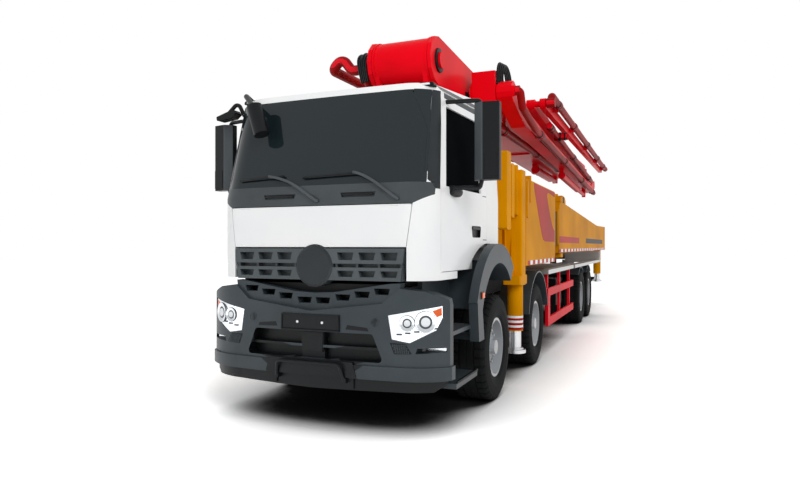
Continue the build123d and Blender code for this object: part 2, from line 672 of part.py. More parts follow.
def pump_body():
    """The yellow outrigger frame: a hull with crossing beam tunnels, its stage ends and hinges."""
    spine = block(-900, 4800, -RAIL_Y, RAIL_Y, RAIL_TOP, 1320)
    hull = fused([
        block(2060, BODY_FRONT, -BODY_SIDE, BODY_SIDE, 1320, BODY_TOP),
        block(BODY_FRONT, 4960, -1010, 1010, 1320, BODY_TOP),
    ])
    tools = []
    for side in (1, -1):
        low, high = BEAM_LEVELS[side]
        tools.append(diagonal_box(side, 2300, 600, 158, low - 8, high + 8))
        y0, y1 = sorted((side * 1020, side * 1300))
        tools.append(block(FRONT_LEG_X - 115, FRONT_LEG_X + 250, y0, y1, 1200, 2500))
    tools.append(rod((SLEW_X, 0, 1320), (SLEW_X, 0, 2500), 100))
    tools.append(block(2000, SLEW_X + 80, -90, 90, 1320, 1480))
    hull = hull.cut(*tools)
    ring = rod((SLEW_X, 0, BODY_TOP), (SLEW_X, 0, BODY_TOP + 40), 620).cut(
        rod((SLEW_X, 0, BODY_TOP - 10), (SLEW_X, 0, BODY_TOP + 60), 100)
    )
    ends = []
    crest = [(4700, 2300), (4960, 1760), (5070, 1760), (5070, 2590), (5010, 2640), (4900, 2600), (4490, 2540),
             (4400, 2470), (4700, 2462)]
    ends.append(prism("y", crest, 1010, 1090))
    for front, back, low, high in HOUSING_ENDS:
        outline = [(back, low), (front, low), (front, high), (back, high)]
        ends.append(prism("y", outline, *((1010, 1200) if front > BODY_FRONT else (BODY_SIDE, 1246)), 28))
    ends.append(block(3960, 4000, BODY_SIDE, 1246, 2100, 2430))
    ends.append(block(3960, 4000, 1150, BODY_SIDE, BODY_TOP, 2430))
    lift_lug = block(1500, 1540, 500, 540, 2330, 2560)
    brackets = []
    for side in (1, -1):
        pin = rod((BEAM_PIN_X, side * BEAM_PIN_Y, 1300), (BEAM_PIN_X, side * BEAM_PIN_Y, 2600), 60 + RUNNING_GAP)
        for z0, z1 in ((1375, 1440), (2268, 2330)):
            lug = block(1290, 1530, *sorted((side * 300, side * 1240)), z0, z1)
            brackets += lug.cut(pin).solids()
        brackets.append(block(1290, 1530, *sorted((side * 300, side * 560)), 1320, 2330))
        brackets.append(block(1530, 2060, *sorted((side * 300, side * 560)), 1500, 2330))
    return [*hull.solids(), spine, *ring.solids()] + both(ends) + brackets + [lift_lug]


def deck_platforms():
    """Walkways beside the pump, their arms on the rails, and the rests for the rear beams."""
    deck = both([block(-4990, -190, 1080, 1245, 1150, 1210)])
    deck += both([block(x, x + 80, RAIL_Y, 1080, RAIL_TOP, 1210) for x in (-900, -260)])
    deck += both([block(-4600, -4520, 370, 1080, RAIL_TOP, 1210)])
    rest = both([block(-5060, -4990, 370, 1240, RAIL_TOP, 1430)])
    tie = both([block(-90, 2610, 1100, 1230, RAIL_TOP, 1212)])
    tie += both([block(x, x + 80, RAIL_Y, 1100, RAIL_TOP, 1212) for x in (300, 2400)])
    return deck + rest + tie


def front_beam(side):
    """One front outrigger: a slanted box beam and the leg's tall sleeve with its lower flange."""
    low, high = BEAM_LEVELS[side]
    x, y = FRONT_LEG_X, side * FRONT_LEG_Y
    near, far = side * 1035, side * 1245
    beam = diagonal_box(side, 1900, 0, 150, low, high)
    bore = rod((x, y, 400), (x, y, 2700), 72)
    sleeve = prism("z", [(x - 105, near), (x + 105, near), (x + 105, far), (x - 105, far)], 1100, 2450, 20)
    flange = prism("z", [(x - 190, near), (x + 190, near), (x + 190, far), (x - 190, far)], 1110, 1215, 20)
    rib_top = 1700
    rib = prism("y", [(x - 165, 1215), (x + 165, 1215), (x + 105, rib_top), (x - 105, rib_top)],
                *sorted((side * 1120, side * 1160)))
    stage_end = prism("y", [(x + 105, 1920), (x + 190, 1920), (x + 190, 2500), (x + 105, 2500)],
                      *sorted((side * 1100, side * 1200)), 24)
    casing = rod((x, y, 560), (x, y, 1100), 92)
    cap = rod((x, y, 2400), (x, y, 2450), 80)
    body = fused([beam, sleeve, flange, rib, stage_end, casing]).cut(bore)
    return [*body.solids(), cap]


def leg(x, y, foot_z, rod_top):
    shaft = rod((x, y, foot_z + 60), (x, y, rod_top), 70)
    foot = rod((x, y, foot_z), (x, y, foot_z + 40), 125)
    neck = rod((x, y, foot_z + 40), (x, y, foot_z + 60), 95)
    return [shaft, foot, neck]


def rear_beam():
    outline = [(1660, 1450), (1660, 2180), (1560, 2260), (1180, 2262), (-4300, 2050), (-6490, 2080), (-6490, 1450)]
    beam = prism("y", outline, 1000, 1240)
    pin = rod((BEAM_PIN_X, BEAM_PIN_Y, 1370), (BEAM_PIN_X, BEAM_PIN_Y, 2400), 60)
    bore = rod((REAR_LEG_X, BEAM_PIN_Y, 500), (REAR_LEG_X, BEAM_PIN_Y, 1990), 72)
    casing = rod((REAR_LEG_X, BEAM_PIN_Y, 830), (REAR_LEG_X, BEAM_PIN_Y, 1450), 92)
    return [*fused([beam, casing]).cut(bore).solids(), pin]


# ---- Concrete pump --------------------------------------------------------------------
def hopper():
    z0, z1 = 1200, 2150
    outer = prism("x", [(-500, z0), (500, z0), (940, 1750), (940, z1), (-940, z1), (-940, 1750)], -6480, -5640)
    inner = prism("x", [(-480, z0 + 30), (480, z0 + 30), (915, 1760), (915, z1 + 50), (-915, z1 + 50), (-915, 1760)],
                  -6455, -5665)
    mouths = [rod((-5700, y, 1400), (-5600, y, 1400), 110) for y in (-170, 170)]
    trough = outer.cut(inner, *mouths)
    feet = [block(-6250, -5900, *sorted((s * 365, s * 440)), RAIL_TOP, 1230) for s in (1, -1)]
    return list(trough.solids()) + feet


GRATE_PIN = (-5645, 2172)


def hopper_grate():
    """A bar grate over the hopper, hinged on two barrels along its front edge."""
    frame = block(-6470, -5650, -930, 930, 2155, 2190).cut(block(-6430, -5690, -890, 890, 2100, 2200))
    bars = [block(-6430, -5690, y - 9, y + 9, 2158, 2187) for y in range(-780, 800, 130)]
    barrels = [y_rod(GRATE_PIN, y, y + 160, 15) for y in (-560, 400)]
    return list(frame.solids()) + bars + barrels


def pump_unit():
    cylinders = [rod((-5640, y, 1400), (-3300, y, 1400), 130) for y in (-170, 170)]
    drives = [rod((-3000, y, 1400), (-1100, y, 1400), 85) for y in (-170, 170)]
    water_box = block(-3300, -3000, -320, 320, 1250, 1560)
    head = block(-1100, -1000, -300, 300, 1290, 1510)
    feet = [block(x, x + 60, *sorted((s * 300, s * 440)), RAIL_TOP, 1290) for s in (1, -1) for x in (-3180, -1080)]
    ties = [block(x, x + 60, -330, 330, 1240, 1290) for x in (-3180, -1080)]
    line = pipe(
        [(-5640, 0, 1640), (-1500, 0, 1640), (-600, 0, 1400), (SLEW_X, 0, 1400), (SLEW_X, 0, 2370)], 70, 100
    )
    stand = [block(-3180, -3120, -40, 40, 1560, 1600), block(200, 260, -40, 40, 1320, 1360)]
    return cylinders + drives + [water_box, head, line] + feet + ties + stand


# ---- Turret and boom ------------------------------------------------------------------
LIFT_FOOT = (2700, 2600)
LIFT_EYE = (P1[0] - 700, P1[1] - 400)
LIFT_Y = -25


def turret():
    """The slewing pedestal: a round base, two cheeks and the big drum about the first pivot."""
    base = rod((SLEW_X, 0, BODY_TOP + 41), (SLEW_X, 0, BODY_TOP + 100), 640).cut(
        rod((SLEW_X, 0, 2300), (SLEW_X, 0, 2600), 100)
    )
    cheek = [(3200, 2470), (4400, 2470), (4900, 3050), (5160, 3560), (5160, 3700), (4940, 3940), (4700, 3850),
             (4300, 3500), (3400, 3000), (2650, 2760), (2600, 2520)]
    passage = y_rod((SLEW_X, TURRET_PIPE_Z), -500, -200, PIPE_R + 8)
    plates = [prism("y", cheek, y, y + 55).cut(passage) for y in (-350, 240)]
    drum = y_rod(P1, -360, 320, 262)
    lips = [y_rod(P1, y, y + 25, 272) for y in (-360, 295)]
    pin = y_rod(P1, -450, 420, 95)
    foot_pin = y_rod(LIFT_FOOT, -330, 280, 45)
    brace = block(4300, 4420, -310, 250, 2480, 3000)
    return [*base.solids(), drum, pin, foot_pin, brace] + plates + lips


TURRET_PIPE_Z = 2820
SWIVEL_Y = -620


def turret_pipe():
    """The concrete line from the slew centre up to the swivel on the first pivot's axis."""
    side_y = SWIVEL_Y + 60
    line = pipe(
        [(SLEW_X, 0, 2385), (SLEW_X, 0, TURRET_PIPE_Z), (SLEW_X, side_y, TURRET_PIPE_Z), (4500, side_y, 3250),
         (P1[0], side_y, P1[1] - 60)],
        PIPE_R, 110,
    )
    swivel = y_rod(P1, SWIVEL_Y, side_y + 50, PIPE_R + 14)
    return [line, swivel, block(4480, 4520, side_y, -350, 3200, 3300)]


def lift_direction():
    dx, dz = LIFT_EYE[0] - LIFT_FOOT[0], LIFT_EYE[1] - LIFT_FOOT[1]
    length = sqrt(dx * dx + dz * dz)
    return dx / length, dz / length, length


def on_lift(distance):
    dx, dz, _ = lift_direction()
    return (LIFT_FOOT[0] + dx * distance, LIFT_Y, LIFT_FOOT[1] + dz * distance)


def lift_barrel():
    length = lift_direction()[2]
    tube = rod(on_lift(60), on_lift(length - 330), 105)
    eye = y_rod(LIFT_FOOT, LIFT_Y - 60, LIFT_Y + 60, 95)
    bore = rod(on_lift(180), on_lift(length), 62)
    return fused([tube, eye]).cut(bore, y_rod(LIFT_FOOT, -500, 500, 45 + RUNNING_GAP)).solids()


def lift_rod():
    length = lift_direction()[2]
    eye = y_rod(LIFT_EYE, LIFT_Y - 55, LIFT_Y + 55, 80)
    shaft = rod(on_lift(200), on_lift(length), 60)
    return fused([shaft, eye]).solids()


def arm_outline(root, tip, depth_root, depth_tip):
    """A tapered box arm's side view between two pivots, rounded about both of them."""
    (x0, z0), (x1, z1) = root, tip
    angle = atan2(z1 - z0, x1 - x0)
    nx, nz = -sin(angle), cos(angle)
    r0, r1 = depth_root / 2, depth_tip / 2
    points = []
    for k in range(7):
        a = angle + pi / 2 + pi * k / 6
        points.append((x0 + r0 * cos(a), z0 + r0 * sin(a)))
    for k in range(7):
        a = angle - pi / 2 + pi * k / 6
        points.append((x1 + r1 * cos(a), z1 + r1 * sin(a)))
    return points


def arm_1():
    """The first arm: a tapered box, two cheeks about the turret's pin, and its cylinders' lugs."""
    box_root = (3300, P1[1] - 10)
    main = prism("y", arm_outline(box_root, P2, 430, 300), -370, 330)
    cheek = arm_outline(P1, (3100, P1[1] - 10), 560, 430)
    hole = y_rod(P1, -600, 500, 95 + RUNNING_GAP)
    cheeks = []
    for y0, y1 in ((-415, -366), (326, 370)):
        cheeks += prism("y", cheek, y0, y1).cut(hole).solids()
    eye = []
    lug_outline = [(3460, 3760), (3000, 3600), (3300, 3480), (LIFT_EYE[0] - 40, LIFT_EYE[1] - 95),
                   (LIFT_EYE[0] + 95, LIFT_EYE[1] - 60), (LIFT_EYE[0] + 95, LIFT_EYE[1] + 80)]
    for y in (LIFT_Y - 105, LIFT_Y + 65):
        eye.append(prism("y", lug_outline, y, y + 40))
    for y in (LIFT_Y - 107, LIFT_Y + 60):
        eye.append(y_rod(LIFT_EYE, y, y + 47, 45))
    hip = y_rod(P2, 320, 770, 90)
    ram = [rod((-2900, 0, 3330), (-4900, 0, 3320), 95), rod((-4900, 0, 3320), (-5750, 0, 3325), 55)]
    ram_lugs = [prism("y", [(x - 120, 3470), (x + 120, 3470), (x + 60, 3270), (x - 60, 3270)], -60, 60)
                for x in (-2950, -5750)]
    bands = [block(x, x + 60, -378, 338, z - 214, z + 216) for x, z in ((2750, 3685), (-1200, 3650))]
    return [main, hip] + cheeks + eye + ram + ram_lugs + bands


def arm_2():
    """The second arm: a tapered box with a squared knee head about the third arm's pin."""
    bore = y_rod(P2, 300, 800, 90 + RUNNING_GAP)
    main = prism("y", arm_outline(P2, P3, 380, 300), 430, 720).cut(bore)
    head = prism("y", [(3250, 3430), (3900, 3400), (3950, 3800), (3640, 3860), (3250, 3740)], 470, 772)
    pin = y_rod(P3, 700, 1005, 70)
    ram = [rod((300, 575, 3800), (2000, 575, 3810), 80), rod((2000, 575, 3810), (3100, 575, 3790), 48)]
    ram_lugs = [prism("y", [(x - 90, 3650), (x + 90, 3650), (x + 50, 3850), (x - 50, 3850)], 530, 620)
                for x in (320, 3080)]
    return [*main.solids(), head, pin] + ram + ram_lugs


ARM_3_KNEE = (3000, 3330)
ARM_3_TAIL = (-5600, 3050)


def arm_3():
    """The third arm: cranked at its knee, and forked at its tail about the fourth."""
    bore = y_rod(P3, 700, 1100, 70 + RUNNING_GAP)
    neck = prism("y", arm_outline(P3, ARM_3_KNEE, 260, 220), 780, 980).cut(bore)
    main = prism("y", arm_outline(ARM_3_KNEE, ARM_3_TAIL, 220, 180), 780, 980)
    ears = [prism("y", arm_outline(ARM_3_TAIL, P4, 180, 220), y0, y1) for y0, y1 in ((780, 812), (948, 980))]
    pin = y_rod(P4, 780, 985, 55)
    ram = [rod((-1000, 880, 2960), (-3400, 880, 2880), 70), rod((-3400, 880, 2880), (-4700, 880, 2850), 42)]
    ram_lugs = [prism("y", [(x - 80, z), (x + 80, z), (x + 45, z - 210), (x - 45, z - 210)], 840, 920)
                for x, z in ((-1020, 3110), (-4680, 3000))]
    return [*neck.solids(), main, pin] + ears + ram + ram_lugs


def arm_4():
    bore = y_rod(P4, 700, 1100, 55 + RUNNING_GAP)
    main = prism("y", arm_outline(P4, P5, 170, 150), 818, 942).cut(bore)
    pin = y_rod(P5, 900, 1122, 45)
    return [*main.solids(), pin]


ARM_5_TIP = (-7000, 3700)


def arm_5():
    bore = y_rod(P5, 900, 1200, 45 + RUNNING_GAP)
    main = prism("y", arm_outline(P5, ARM_5_TIP, 160, 110), 1020, 1110).cut(bore)
    return main.solids()


def brackets_to(places, y0, y1, low, high, half=25):
    """Flat stays that carry a pipe on its arm, at (x, z of the pipe)."""
    return [block(x - half, x + half, y0, y1, z - low, z + high) for x, z in places]


def clamps(places, y, radius):
    """Raised coupling rings round a pipe that runs nearly along X, at (x, z of the pipe)."""
    return [rod((x - 32, y, z), (x + 32, y, z), radius) for x, z in places]


def pipe_1():
    """From the swivel, out over the first pivot in a loop and back along the first arm."""
    x, z = P1
    loop = [(x, SWIVEL_Y - 5, z), (x, SWIVEL_Y - 130, z), (x, -880, z + 170), (x - 10, -1030, z + 40),
            (x - 900, -1010, z + 40), (3300, -540, z - 20), (P2[0] + 150, -540, P2[1])]
    places = ((2500, 3673), (0, 3651), (-3000, 3624), (-5600, 3605))
    return [pipe(loop, PIPE_R, 85), *clamps(places, -540, 82)] + brackets_to(places, -540, -370, 50, 40)


def pipe_2():
    y = 575
    places = ((-5000, 3289), (-2500, 3281), (0, 3273), (2600, 3264))
    line = pipe([(-5900, y, 3290), (3300, y, 3260)], PIPE_R, 0)
    hangers = [block(x - 25, x + 25, y - 20, y + 20, z, P2[1] - 190) for x, z in places]
    return [line, *clamps(places, y, 80)] + hangers


def pipe_3():
    """The third arm's line, from its elbow on the third pivot's axis."""
    y = 1060
    line = pipe([(P3[0], 1008, P3[1]), (P3[0], y + 4, P3[1]), (P3[0] - 160, y, P3[1] - 190), (2700, y, 3230),
                 (-5300, y, 2930)], 50, 48)
    elbow = pipe([(P3[0], 1008, P3[1]), (P3[0], 1060, P3[1])], 62, 0)
    places = ((2300, 3215), (-200, 3121), (-2800, 3024), (-5000, 2941))
    return [line, elbow, *clamps(places, y, 66)] + brackets_to(places, 980, y, 40, 70)


def pipe_4():
    """The fourth arm's line, on its outer face, with an open branch that crosses above it."""
    y = 1004
    line = pipe([(-5200, y, 3245), (1200, y, 3560)], 50, 0)
    places = ((-4700, 3270), (-1800, 3412), (1000, 3550))
    branch = y_rod((300, 3515), 942, 1180, 68).cut(y_rod((300, 3515), 1060, 1200, 52))
    return [line, *branch.solids(), *clamps(places, y, 60)] + brackets_to(places, 942, y, 30, 30, 20)


# As far behind the origin as the bumper's step handle is ahead of it.
PIPE_END_X = -FRONT_X - 60


def pipe_5():
    """The last arm's line, from a swivel on its pivot back to the open delivery coupling."""
    y, z_end = 1185, 3762
    swivel = y_rod(P5, 1124, 1245, 74)
    rise = pipe([(P5[0], y, P5[1]), (P5[0] - 60, y, P5[1] + 110), (P5[0] - 420, y, 3838)], 62, 60)
    line = pipe([(P5[0] - 415, y, 3838), (-6800, y, z_end)], 55, 0)
    collar = rod((PIPE_END_X, y, z_end), (PIPE_END_X + 250, y, z_end), 66)
    mouth = rod((PIPE_END_X - 10, y, z_end), (PIPE_END_X + 240, y, z_end), 50)
    tail = pipe([(-6800, y, z_end), (PIPE_END_X + 245, y, z_end)], 55, 0)
    stays = ((1400, 3835), (-500, 3819), (-2700, 3798), (-4900, 3779), (-6500, 3765))
    line = fused([swivel, rise, line, tail, collar]).cut(mouth)
    return [*line.solids(), *clamps(stays, y, 70)] + brackets_to(stays, 1110, y, 110, 10, 20)


# ---- Write the pieces -----------------------------------------------------------------
SINGLE_PIECES = [
    chassis_frame, engine_block, front_axle_beams, rear_axle_housings, chassis_tanks, side_guards, mudguards,
    cab_shell, cab_interior, windscreen, front_flap, grille, bumper, headlamps, front_mirror, pump_body,
    deck_platforms, hopper, hopper_grate, pump_unit, turret, turret_pipe, lift_barrel, lift_rod,
    arm_1, arm_2, arm_3, arm_4, arm_5,
    pipe_1, pipe_2, pipe_3, pipe_4, pipe_5,
]
for make in SINGLE_PIECES:
    print(make.__name__)
    save(make.__name__, make())

SIDES = {"left": 1, "right": -1}
save_sides("door", door())
save_sides("door_glass", door_glass())
save("mirror_left", side_mirror())
save("mirror_right", mirrored(side_mirror()) + kerb_mirror())
save_sides("rear_beam", rear_beam())
save_sides("rear_leg", leg(REAR_LEG_X, BEAM_PIN_Y, 620, 1850))
save_sides("front_leg", leg(FRONT_LEG_X, FRONT_LEG_Y, 300, 2300))
for word, side in SIDES.items():
    save(f"front_beam_{word}", front_beam(side))
    for number, x in enumerate(FRONT_AXLES, 1):
        save(f"knuckle_{number}_{word}", knuckle(x, side))
        save(f"wheel_{number}_{word}", front_wheel(x, side))
    for number, x in enumerate(REAR_AXLES, 3):
        save(f"wheel_{number}_{word}", rear_wheel(x, side))
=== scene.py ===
# %% [markdown]
# A truck-mounted concrete pump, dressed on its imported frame. The frame holds every piece at its
# real size and place, so this lesson only adds finish: paint, rubber, glass, tape and small parts.

# %% Load the frame
import math

import bmesh
import bpy
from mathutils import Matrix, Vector
from mathutils.bvhtree import BVHTree


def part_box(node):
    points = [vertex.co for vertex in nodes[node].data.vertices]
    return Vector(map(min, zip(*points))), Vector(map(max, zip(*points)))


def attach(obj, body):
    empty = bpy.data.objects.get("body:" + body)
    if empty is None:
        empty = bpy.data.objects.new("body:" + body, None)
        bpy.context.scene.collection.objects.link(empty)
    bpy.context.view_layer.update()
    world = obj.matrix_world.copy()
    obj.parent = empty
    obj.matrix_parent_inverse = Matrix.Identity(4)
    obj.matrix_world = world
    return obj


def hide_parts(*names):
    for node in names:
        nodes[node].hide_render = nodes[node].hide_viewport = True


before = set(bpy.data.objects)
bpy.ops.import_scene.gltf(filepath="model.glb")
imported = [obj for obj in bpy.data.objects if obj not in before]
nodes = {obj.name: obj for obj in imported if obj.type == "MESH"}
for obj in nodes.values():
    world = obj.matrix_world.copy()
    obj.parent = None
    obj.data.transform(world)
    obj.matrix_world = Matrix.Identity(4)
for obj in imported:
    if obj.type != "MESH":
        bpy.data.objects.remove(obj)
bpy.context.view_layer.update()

# %% [markdown]
# Colours are chosen as screen hex values, but shaders work in linear light, so one function converts
# them. A second one adds any node with its settings and links, and keeps the materials short.


# %% Colour and node helpers
def linear(hex_colour, alpha=1.0):
    parts = [int(hex_colour[i:i + 2], 16) / 255 for i in (1, 3, 5)]
    return tuple(p / 12.92 if p <= 0.04045 else ((p + 0.055) / 1.055) ** 2.4 for p in parts) + (alpha,)


def add_node(tree, kind, inputs=None, **settings):
    """Adds a node. An input takes a value, a socket to link, or a node, which gives its first output."""
    node = tree.nodes.new(kind)
    for name, value in settings.items():
        setattr(node, name, value)
    for name, value in (inputs or {}).items():
        if isinstance(value, bpy.types.Node):
            value = value.outputs[0]
        if isinstance(value, bpy.types.NodeSocket):
            tree.links.new(value, node.inputs[name])
        else:
            node.inputs[name].default_value = value
    return node


def start_material(name):
    material = bpy.data.materials.new(name)
    material.use_nodes = True
    material.node_tree.nodes.clear()
    return material, material.node_tree


def finish_material(tree, shader):
    add_node(tree, "ShaderNodeOutputMaterial", {"Surface": shader})


def own_place(tree):
    return add_node(tree, "ShaderNodeTexCoord").outputs["Object"]


def drifting_colour(tree, place, scale, detail, tones, stops):
    """A colour that drifts between two tones over a noise, as paint and moulded skins do."""
    drift = add_node(tree, "ShaderNodeTexNoise", {"Vector": place, "Scale": scale, "Detail": detail})
    ramp = add_node(tree, "ShaderNodeValToRGB", {"Fac": drift})
    for element, stop, tone in zip(ramp.color_ramp.elements, stops, tones):
        element.position, element.color = stop, linear(tone)
    return ramp


def relief(tree, height, strength, distance=0.001):
    return add_node(tree, "ShaderNodeBump", {"Height": height, "Strength": strength, "Distance": distance})



def principled(material, inputs):
    shader = add_node(material.node_tree, "ShaderNodeBsdfPrincipled", inputs)
    finish_material(material.node_tree, shader)
    return material


# Grains across one metre of a noise texture and of a cell texture at a scale of 1.
NOISE_GRAINS, CELL_GRAINS = 6.3, 8.0


# %% [markdown]
# Most of the truck is sprayed steel, a smooth coat with a faint orange-peel ripple. A fine noise
# makes the ripple, and one a metre wide lets the colour drift a little over a big panel.


# %% Sprayed paint
RIPPLE_MM, RIPPLE = 4.0, 0.04


def sprayed_paint(name, colour, shade, roughness, shine=0.35, coat=0.0):
    material, tree = start_material(name)
    place = own_place(tree)
    fine = 1000 / RIPPLE_MM / NOISE_GRAINS
    peel = add_node(tree, "ShaderNodeTexNoise", {"Vector": place, "Scale": fine, "Detail": 2.0})
    return principled(material, {
        "Base Color": drifting_colour(tree, place, 0.9, 3.0, (shade, colour), (0.35, 0.62)),
        "Roughness": roughness, "Specular IOR Level": shine, "Coat Weight": coat, "Coat Roughness": 0.12,
        "Normal": relief(tree, peel, RIPPLE),
    })


white_enamel = sprayed_paint("white_cab_enamel", "#f4f4f3", "#eceef0", roughness=0.3, coat=0.3)
yellow_paint = sprayed_paint("yellow_machine_enamel", "#e29800", "#ca8400", roughness=0.5, shine=0.03)
red_paint = sprayed_paint("red_boom_enamel", "#f0061a", "#d40414", roughness=0.35, shine=0.05)
pipe_paint = sprayed_paint("red_pipe_enamel", "#a01618", "#740e10", roughness=0.45, shine=0.06)
coupling_paint = sprayed_paint("bright_red_coupling_enamel", "#e80820", "#cc0616", roughness=0.35, shine=0.2)
guard_paint = sprayed_paint("red_guard_enamel", "#e41024", "#c80c1a", roughness=0.5, shine=0.1)
chassis_paint = sprayed_paint("black_chassis_paint", "#121415", "#0b0c0d", roughness=0.6, shine=0.15)
grey_paint = sprayed_paint("grey_pump_paint", "#44484b", "#36393b", roughness=0.5, shine=0.2)
silver_paint = sprayed_paint("silver_wheel_lacquer", "#b9bcbf", "#9a9ea2", roughness=0.35, coat=0.3)
stripe_red = sprayed_paint("red_stripe_film", "#b8281c", "#a01c12", roughness=0.45, shine=0.08)
stripe_grey = sprayed_paint("dark_stripe_film", "#23282a", "#1b1f21", roughness=0.45, shine=0.08)
print("sprayed paints made")

# %% [markdown]
# The bumper, grille and arches are moulded from dark plastic. A mould leaves a fine leathery grain
# that scatters light, so the plastic looks matt and its edges catch a soft highlight.


# %% Moulded plastic, rubber and glass
def moulded_plastic(name, colour, shade, roughness, grain_mm=1.2, depth=0.12, shine=0.3):
    material, tree = start_material(name)
    place = own_place(tree)
    cells = add_node(tree, "ShaderNodeTexVoronoi", {"Vector": place, "Scale": 1000 / grain_mm / CELL_GRAINS})
    return principled(material, {
        "Base Color": drifting_colour(tree, place, 2.5, 4.0, (shade, colour), (0.3, 0.7)),
        "Roughness": roughness, "Specular IOR Level": shine,
        "Normal": relief(tree, cells, depth),
    })


anthracite = moulded_plastic("anthracite_bumper_plastic", "#343c41", "#2b3236", 0.45)
light_grey_plastic = moulded_plastic("grey_grille_plastic", "#4e5558", "#42484b", 0.42)
mirror_grey = moulded_plastic("grey_mirror_plastic", "#4c5256", "#42474b", 0.5)
black_plastic = moulded_plastic("black_trim_plastic", "#0e1114", "#090b0c", 0.42, shine=0.2)
cowl_plastic = moulded_plastic("black_cowl_plastic", "#22282b", "#1a1f22", 0.38)
grey_cowl = moulded_plastic("grey_cowl_plastic", "#43494c", "#383d40", 0.4)
seat_cloth = moulded_plastic("charcoal_seat_cloth", "#2c2e31", "#232528", 0.85, grain_mm=3.0, depth=0.3)
tyre_rubber = moulded_plastic("tyre_rubber", "#1a1b1c", "#131415", 0.85, grain_mm=4.0, depth=0.15, shine=0.12)


def tinted_glass(name, colour, cover, roughness=0.03, fade=False):
    """Laminated glass with a dark cab behind it: it reads as a near-black mirror."""
    material, tree = start_material(name)
    place = own_place(tree)
    wave = add_node(tree, "ShaderNodeTexNoise", {"Vector": place, "Scale": 0.7, "Detail": 1.0})
    glossy = add_node(
        tree, "ShaderNodeBsdfPrincipled",
        {"Base Color": linear(colour), "Roughness": roughness, "IOR": 1.52, "Specular IOR Level": 0.3,
         "Normal": relief(tree, wave, 0.02, 0.01)},
    )
    clear = add_node(tree, "ShaderNodeBsdfTransparent", {"Color": linear("#8a9498")})
    blend = add_node(tree, "ShaderNodeMixShader", {0: cover, 1: clear, 2: glossy})
    if fade:  # seen along its length, the pane shows a painted dark reflection in place of its real one
        slope = add_node(tree, "ShaderNodeLayerWeight", {"Blend": 0.5})
        grazing = add_node(
            tree, "ShaderNodeMapRange", {"Value": slope.outputs["Facing"], "From Min": 0.3, "From Max": 0.6}
        )
        # Painted dark reflection: a flat near-black colour that replaces the glossy pane at grazing angles.
        painted_dark_reflection = add_node(tree, "ShaderNodeBsdfDiffuse", {"Color": linear(colour)})
        blend = add_node(tree, "ShaderNodeMixShader", {0: grazing, 1: blend, 2: painted_dark_reflection})
    finish_material(tree, blend)
    return material


dark_glass = tinted_glass("tinted_windscreen_glass", "#1a2428", 0.93)
door_glass = tinted_glass("tinted_door_glass", "#0f1112", 0.985, roughness=0.05, fade=True)
print("plastics, rubber and glass made")

# %% [markdown]
# Bare metal is of four kinds here: the walkways' brushed aluminium, the plated steel of nuts and
# jacks, the hard chrome of the lift rod and mirrors, and the bright bowls inside the lamps.


# %% Bare metals
def bare_metal(name, colour, roughness, grain_mm, stretch=(1, 1, 1)):
    material, tree = start_material(name)
    place = own_place(tree)
    turned = add_node(tree, "ShaderNodeMapping", {"Vector": place, "Scale": stretch})
    fine = 1000 / grain_mm / NOISE_GRAINS
    grain = add_node(tree, "ShaderNodeTexNoise", {"Vector": turned, "Scale": fine, "Detail": 3.0})
    return principled(material, {
        "Base Color": linear(colour), "Metallic": 1.0, "Roughness": roughness,
        "Normal": relief(tree, grain, 0.1),
    })


deck_aluminium = bare_metal("brushed_deck_aluminium", "#b4b6b4", 0.42, 2.0, (0.1, 1, 1))
plated_steel = bare_metal("zinc_plated_steel", "#c4c6c8", 0.35, 3.0)
hard_chrome = bare_metal("hard_chrome_rod", "#d8dadc", 0.12, 1.0)
lamp_chrome = bare_metal("vacuum_plated_reflector", "#c8ccd0", 0.12, 5.0)
print("metals made")

# %% [markdown]
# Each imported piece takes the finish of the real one. Its mesh is left alone, and only its material
# slot changes.

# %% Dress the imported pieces
SIGNS = {"left": 1, "right": -1}  # which way each side lies along Y
WEARS = (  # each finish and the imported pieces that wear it
    (chassis_paint, "chassis_frame engine_block front_axle_beams rear_axle_housings chassis_tanks"),
    (guard_paint, "side_guards"), (anthracite, "mudguards bumper"), (white_enamel, "cab_shell front_flap"),
    (seat_cloth, "cab_interior"), (dark_glass, "windscreen"), (light_grey_plastic, "grille"),
    (lamp_chrome, "headlamps"), (black_plastic, "front_mirror"), (yellow_paint, "pump_body"),
    (deck_aluminium, "deck_platforms"), (grey_paint, "hopper pump_unit"), (hard_chrome, "lift_rod"),
    (red_paint, "hopper_grate turret lift_barrel arm_1 arm_2 arm_3 arm_4 arm_5"),
    (pipe_paint, "turret_pipe pipe_1 pipe_2 pipe_3 pipe_4 pipe_5"),
)
PAIR_WEARS = (
    (white_enamel, "door"), (door_glass, "door_glass"), (black_plastic, "mirror"),
    (yellow_paint, "front_beam rear_beam"), (plated_steel, "front_leg rear_leg"),
    (chassis_paint, "knuckle_1 knuckle_2"), (tyre_rubber, "wheel_1 wheel_2 wheel_3 wheel_4"),
)
FINISHES = {name: paint for paint, names in WEARS for name in names.split()}
for paint, names in PAIR_WEARS:
    FINISHES |= {f"{name}_{side}": paint for name in names.split() for side in SIGNS}
for name, material in FINISHES.items():
    mesh = nodes[name].data
    mesh.materials.clear()
    mesh.materials.append(material)
print("finishes given to", len(FINISHES), "pieces")

# %% [markdown]
# Some pieces leave the factory in two colours. A material can be given face by face, so each rule
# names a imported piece, its second finish, and a test on a face's middle. The mesh never changes.

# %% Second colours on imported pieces
def recolour(name, material, test):
    mesh = nodes[name].data
    mesh.materials.append(material)
    slot_number = len(mesh.materials) - 1
    changed = 0
    for face in mesh.polygons:
        if test(*face.center, face.normal):
            face.material_index = slot_number
            changed += 1
    print(name, "has", changed, "faces in", material.name)


